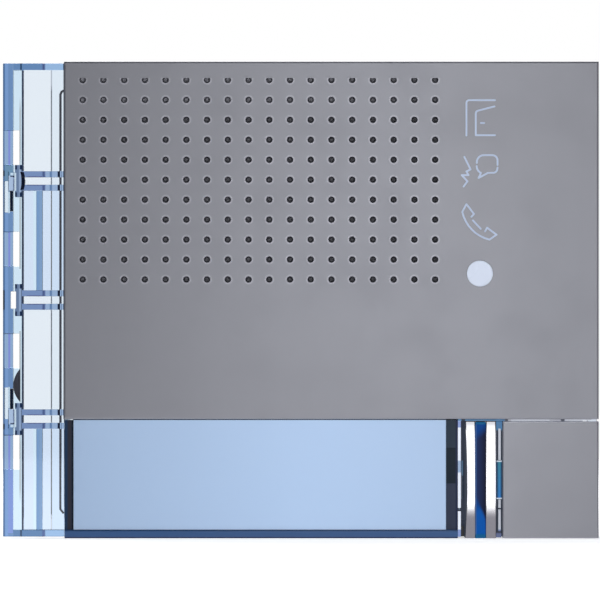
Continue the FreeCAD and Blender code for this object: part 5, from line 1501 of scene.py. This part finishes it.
class INTERCOM_OT_sockets(bpy.types.Operator):
    """Finishes the sockets and the terminal plug"""

    bl_idname = "intercom.sockets"
    bl_label = "Sockets"

    def execute(self, context):
        edge = context.scene.intercom_edges.socket
        white = surface("socket white", (0.7, 0.69, 0.65), 0.4, grain_depth=0.000015)
        green = surface("socket green", (0.02, 0.2, 0.07), 0.4, grain_depth=0.000015, rub=0.1,
                        rub_colour=(0.1, 0.32, 0.16))
        gold = surface("contact gold", (0.83, 0.60, 0.26), 0.22, metallic=1.0)
        row = (LINKS[0].z + LINKS[1].z) / 2
        links = softened("link_sockets", "link_headers", white, PIN_EDGE)
        paint_faces(links, gold, lambda centre, normal: abs(centre.z - row) < PIN_HALF
                    and LINKS[0].y + LINK_FLOOR < centre.y < REAR_FACE - PIN_BELOW
                    and abs(normal.x) + abs(normal.z) + normal.y > 0.5)
        softened("configurator_socket", "configurator_block", white, edge)
        port = softened("service_socket", "service_port",
                        surface("port steel", (0.6, 0.6, 0.6), 0.3, metallic=1.0), PORT_EDGE)
        control_row = rear_middle(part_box("service_socket"))[1]
        paint_faces(port, surface("port tongue", (0.03, 0.03, 0.03), 0.4), lambda centre, normal:
                    abs(centre.z - control_row) < TONGUE_HALF and centre.y < REAR_FACE - TONGUE_BELOW
                    and abs(normal.x) < 0.9)
        header = softened("terminal_socket", "terminal_header", green, edge)
        left, right = TERMINAL[0].x + TERMINAL_WALL, TERMINAL[1].x - TERMINAL_WALL
        tin = surface("contact tin", (0.66, 0.65, 0.62), 0.3, metallic=1.0)
        paint_faces(header, tin, lambda centre, normal: abs(centre.z - row) < TIN_HALF
                    and left < centre.x < right and TIN_BELOW[0] < REAR_FACE - centre.y < TIN_BELOW[1])
        softened("terminal_plug", "terminal_block", green, edge)
        screw = surface("terminal screw", (0.6, 0.6, 0.6), 0.3, metallic=1.0, rub=0.3,
                        rub_colour=(0.8, 0.8, 0.8))
        dress(screw, "terminal_screws")
        return {"FINISHED"}


class INTERCOM_OT_contacts(bpy.types.Operator):
    """Adds the spring contacts in the slots of the configurator"""

    bl_idname = "intercom.contacts"
    bl_label = "Contacts"

    def execute(self, context):
        middle, height = rear_middle(CONFIGURATOR)
        start = CONFIGURATOR[0].y + SLOT_FLOOR
        place_of = (middle - SLOT_WIDTH / 2 + LEAF_GAP, start + LEAF_START / 2, height)
        bpy.ops.object.select_all(action="DESELECT")
        bpy.ops.mesh.primitive_plane_add(size=1.0, location=place_of,
                                         rotation=(0.0, math.radians(90.0), 0.0))
        leaf = bpy.context.object
        leaf.name = "configurator_contacts"
        leaf.scale = (LEAF_HEIGHT, LEAF_START, 1.0)
        at_origin(leaf)
        reach = start + LEAF_START - TOLERANCE
        for across, along in LEAF_BENDS:
            choose(leaf, "EDGE", lambda first, second: min(first.y, second.y) > reach)
            bpy.ops.mesh.extrude_edges_move(TRANSFORM_OT_translate={"value": (across, along, 0.0)})
            bpy.ops.object.mode_set(mode="OBJECT")
            reach += along
        thicken(leaf, LEAF_THICKNESS)
        soften(leaf, CONTACT_EDGE, segments=1)
        twin = own_copy(leaf, (0.0, 0.0, 0.0))
        twin.scale = (-1.0, 1.0, 1.0)
        twin.location = (2 * middle, 0.0, 0.0)
        at_origin(twin)
        choose(twin, "FACE", lambda centre, normal: True)
        bpy.ops.mesh.normals_make_consistent(inside=False)
        bpy.ops.object.mode_set(mode="OBJECT")
        pair = join("contact_pair", [leaf, twin])
        pairs = [own_copy(pair, (step * SLOT_PITCH, 0.0, 0.0)) for step in row_steps(SLOTS)]
        bpy.data.objects.remove(pair)
        contacts = join("configurator_contacts", pairs)
        coat(contacts, surface("contact bronze", (0.80, 0.52, 0.24), 0.25, metallic=1.0))
        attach(contacts, "module")
        return {"FINISHED"}


class INTERCOM_OT_rear_relief(bpy.types.Operator):
    """Adds the numbers, marks and pictograms moulded on the rear wall"""

    bl_idname = "intercom.rear_relief"
    bl_label = "Rear relief"

    def execute(self, context):
        above = TERMINAL[1].z + NUMBERS_ABOVE
        pieces = []
        for box, count, pitch in ((TERMINAL, TERMINALS, TERMINAL_PITCH), (CONFIGURATOR, SLOTS, SLOT_PITCH)):
            middle = rear_middle(box)[0]
            for number, step in enumerate(row_steps(count), start=1):
                pieces.append(raised_number(number, middle - step * pitch, above))
        strokes = []
        for x, up in ((LINKS[0].x + LINK_WIDTH / 2, 1.0), (LINKS[1].x - LINK_WIDTH / 2, -1.0)):
            arrow = [(-1.0, -0.55 * up), (0.0, 0.65 * up), (1.0, -0.55 * up)]
            strokes.append(("link_arrow", (x, above), arrow))
        for box in (SPEAKER_ROTOR, MICROPHONE_ROTOR):
            centre = rear_middle(box)
            strokes += [("volume_arc", centre, arc(3.5, 225.0, -45.0, 27)),
                        ("minus", centre, [(-4.1, -3.3), (-3.1, -3.3)]),
                        ("plus", centre, [(3.1, -3.3), (4.1, -3.3)]),
                        ("plus_upright", centre, [(3.6, -3.8), (3.6, -2.8)])]
        strokes.append(("button_ring", rear_middle(BUTTON), arc(2.9, 0.0, 352.5, 47)))
        x, z = rear_middle(SPEAKER_ROTOR)
        centre = (x, z - PICTOGRAM_BELOW)
        horn = [(-1.6, -0.6), (-0.9, -0.6), (0.0, -1.4), (0.0, 1.4), (-0.9, 0.6), (-1.6, 0.6)]
        strokes += [("horn", centre, horn),
                    ("sound_wave", centre, arc(0.9, -42.0, 42.0, 8, (0.1, 0.0))),
                    ("sound_wave", centre, arc(1.6, -42.0, 42.0, 8, (0.1, 0.0)))]
        x, z = rear_middle(MICROPHONE_ROTOR)
        centre = (x, z - PICTOGRAM_BELOW)
        capsule = arc(0.65, 0.0, 180.0, 10, (0.0, 0.9)) + arc(0.65, 180.0, 360.0, 10, (0.0, -0.1))
        strokes += [("microphone", centre, capsule),
                    ("holder", centre, arc(1.25, 195.0, 345.0, 14)),
                    ("stem", centre, [(0.0, -1.25), (0.0, -1.9)]),
                    ("foot", centre, [(-0.8, -1.9), (0.8, -1.9)])]
        for name, centre, points in strokes:
            width = RING_WIDTH if name == "button_ring" else BEAD_WIDTH
            pieces.append(bead(name, centre, points, width, closed=name in CLOSED_STROKES))
        relief = join("rear_relief", pieces)
        marks = surface("mark grey", context.scene.intercom_colours.marks, 0.5, grain_size=0.0002)
        coat(relief, marks)
        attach(relief, "module")
        return {"FINISHED"}


class INTERCOM_OT_adjusters(bpy.types.Operator):
    """Finishes the trimmers and the program button"""

    bl_idname = "intercom.adjusters"
    bl_label = "Adjusters"

    def execute(self, context):
        dress(surface("trimmer blue", (0.02, 0.06, 0.25), 0.35), "trimmer_bodies", "program_switch")
        dress(surface("rotor cream", (0.75, 0.72, 0.6), 0.4), "speaker_volume_rotor", "mic_volume_rotor",
              "program_button")
        return {"FINISHED"}


def look_at(piece, place_of, target):
    """Stands an object at a place and turns its -Z to a target."""
    piece.location = place_of
    piece.rotation_mode = "QUATERNION"
    piece.rotation_quaternion = (target - place_of).to_track_quat("-Z", "Y")


def softbox(name, place_of, target, size, power):
    """A rectangular light that the camera doesn't see."""
    data = bpy.data.lights.new(name, "AREA")
    data.shape = "RECTANGLE"
    data.size, data.size_y = size
    data.energy = power
    light = bpy.data.objects.new(name, data)
    bpy.context.scene.collection.objects.link(light)
    look_at(light, Vector(place_of), Vector(target))
    light.visible_camera = False
    return light


def studio_world():
    """White behind the object, softer in front and grey at the sides; plain white to the camera."""
    world = bpy.data.worlds.new("Studio")
    bpy.context.scene.world = world
    world.use_nodes = True
    tree = world.node_tree
    tree.nodes.clear()
    along = place(tree, "ShaderNodeTexCoord").outputs["Generated"]
    depth = place(tree, "ShaderNodeSeparateXYZ", {0: along}).outputs["Y"]
    back = ramp(tree, depth, 0.72, 0.97, kind="SMOOTHSTEP")
    front = ramp(tree, depth, -0.2, -0.9, kind="SMOOTHSTEP")
    colour = blend_colours(tree, front, (0.05, 0.07, 0.11, 1.0), (0.12, 0.12, 0.128, 1.0))
    colour = blend_colours(tree, back, colour, WHITE)
    seen = place(tree, "ShaderNodeLightPath").outputs["Is Camera Ray"]
    colour = blend_colours(tree, seen, colour, WHITE)
    background = place(tree, "ShaderNodeBackground", {"Color": colour, "Strength": 1.0})
    output = place(tree, "ShaderNodeOutputWorld")
    tree.links.new(background.outputs[0], output.inputs["Surface"])


def pale_floor():
    """Matt white floor that fades into the white behind it."""
    made, tree, shader = new_material("floor white")
    away = place(tree, "ShaderNodeVectorMath", {0: object_place(tree)}, operation="LENGTH").outputs["Value"]
    glow = ramp(tree, away, 0.06, 0.5, 0.55, 1.0)
    bright = place(tree, "ShaderNodeCombineXYZ", {0: glow, 1: glow, 2: glow}).outputs[0]
    path = place(tree, "ShaderNodeLightPath")
    lens = path.outputs["Is Transmission Ray"]
    indirect = maths(tree, path.outputs["Is Glossy Ray"], lens, "MAXIMUM")
    pale = toned(tree, (0.9, 0.9, 0.9), 0.05, 0.01)
    wire(tree, shader.inputs["Base Color"], blend_colours(tree, indirect, pale, BLACK))
    seen = blend_colours(tree, indirect, bright, (0.95, 0.95, 0.98, 1.0))
    glowing(tree, shader, blend_colours(tree, lens, seen, WHITE), 1.0)
    shader.inputs["Roughness"].default_value = 0.9
    shader.inputs["Specular IOR Level"].default_value = 0.1
    return made


class INTERCOM_OT_studio(bpy.types.Operator):
    """Adds the pale floor, the soft light and the camera"""

    bl_idname = "intercom.studio"
    bl_label = "Studio"

    def execute(self, context):
        studio = context.scene.intercom_studio
        low = CAD_BOX[0]
        bpy.ops.object.select_all(action="DESELECT")
        bpy.ops.mesh.primitive_circle_add(vertices=96, radius=studio.floor_radius, fill_type="NGON",
                                          location=(0.0, 0.0, low.z))
        floor = bpy.context.object
        floor.name = "floor"
        floor.data.materials.append(pale_floor())
        studio_world()
        softbox("softbox front", (0.03, -0.26, 0.2), (0.03, 0.0, 0.2), (0.10, 0.8), studio.softbox_power)
        top = softbox("softbox top", (-0.1, -0.2, 0.9), (0.0, 0.0, 0.0), (0.8, 0.8), 3.0)
        top.visible_glossy = False
        rear = softbox("softbox rear", (-0.35, 0.9, 0.5), (0.0, 0.0, 0.0), (0.8, 0.8), 9.0)
        rear.visible_transmission = False
        camera_data = bpy.data.cameras.new("camera")
        camera = bpy.data.objects.new("camera", camera_data)
        context.scene.collection.objects.link(camera)
        camera_data.sensor_width = 36.0
        camera_data.lens = studio.lens
        back = PICTURE_PIXELS * PIXEL * camera_data.lens / camera_data.sensor_width
        look_at(camera, PICTURE_CENTRE + Vector((0.0, low.y - back, 0.0)), PICTURE_CENTRE)
        camera_data.clip_start = 0.1
        camera_data.clip_end = 20.0
        context.scene.camera = camera
        context.scene.view_settings.view_transform = "Standard"
        context.scene.view_settings.look = "None"
        return {"FINISHED"}


OPERATORS = (INTERCOM_OT_metal_face, INTERCOM_OT_clear_moulding, INTERCOM_OT_name_window,
             INTERCOM_OT_pictograms, INTERCOM_OT_call_key, INTERCOM_OT_loudspeaker, INTERCOM_OT_boards,
             INTERCOM_OT_housing, INTERCOM_OT_sockets, INTERCOM_OT_contacts, INTERCOM_OT_rear_relief,
             INTERCOM_OT_adjusters, INTERCOM_OT_studio)


class INTERCOM_PT_panel(bpy.types.Panel):
    """Lists the steps and the settings in the sidebar."""

    bl_idname = "INTERCOM_PT_panel"
    bl_label = "Door intercom module"
    bl_space_type = "VIEW_3D"
    bl_region_type = "UI"
    bl_category = "Intercom"

    def draw(self, context):
        for step in OPERATORS:
            self.layout.operator(step.bl_idname)
        scene = context.scene
        for settings in (scene.intercom_colours, scene.intercom_edges, scene.intercom_studio):
            for name in settings.__annotations__:
                self.layout.prop(settings, name)


CLASSES = (IntercomColours, IntercomEdges, IntercomStudio, *OPERATORS, INTERCOM_PT_panel)


def register():
    for made in CLASSES:
        bpy.utils.register_class(made)
    bpy.types.Scene.intercom_colours = bpy.props.PointerProperty(type=IntercomColours)
    bpy.types.Scene.intercom_edges = bpy.props.PointerProperty(type=IntercomEdges)
    bpy.types.Scene.intercom_studio = bpy.props.PointerProperty(type=IntercomStudio)


def unregister():
    del bpy.types.Scene.intercom_studio
    del bpy.types.Scene.intercom_edges
    del bpy.types.Scene.intercom_colours
    for made in reversed(CLASSES):
        bpy.utils.unregister_class(made)


def main():
    """Builds every group of pieces, then the studio."""
    register()
    bpy.ops.intercom.metal_face()
    bpy.ops.intercom.clear_moulding()
    bpy.ops.intercom.name_window()
    bpy.ops.intercom.pictograms()
    bpy.ops.intercom.call_key()
    bpy.ops.intercom.loudspeaker()
    bpy.ops.intercom.boards()
    bpy.ops.intercom.housing()
    bpy.ops.intercom.sockets()
    bpy.ops.intercom.contacts()
    bpy.ops.intercom.rear_relief()
    bpy.ops.intercom.adjusters()
    bpy.ops.intercom.studio()


if __name__ == "__main__":
    main()
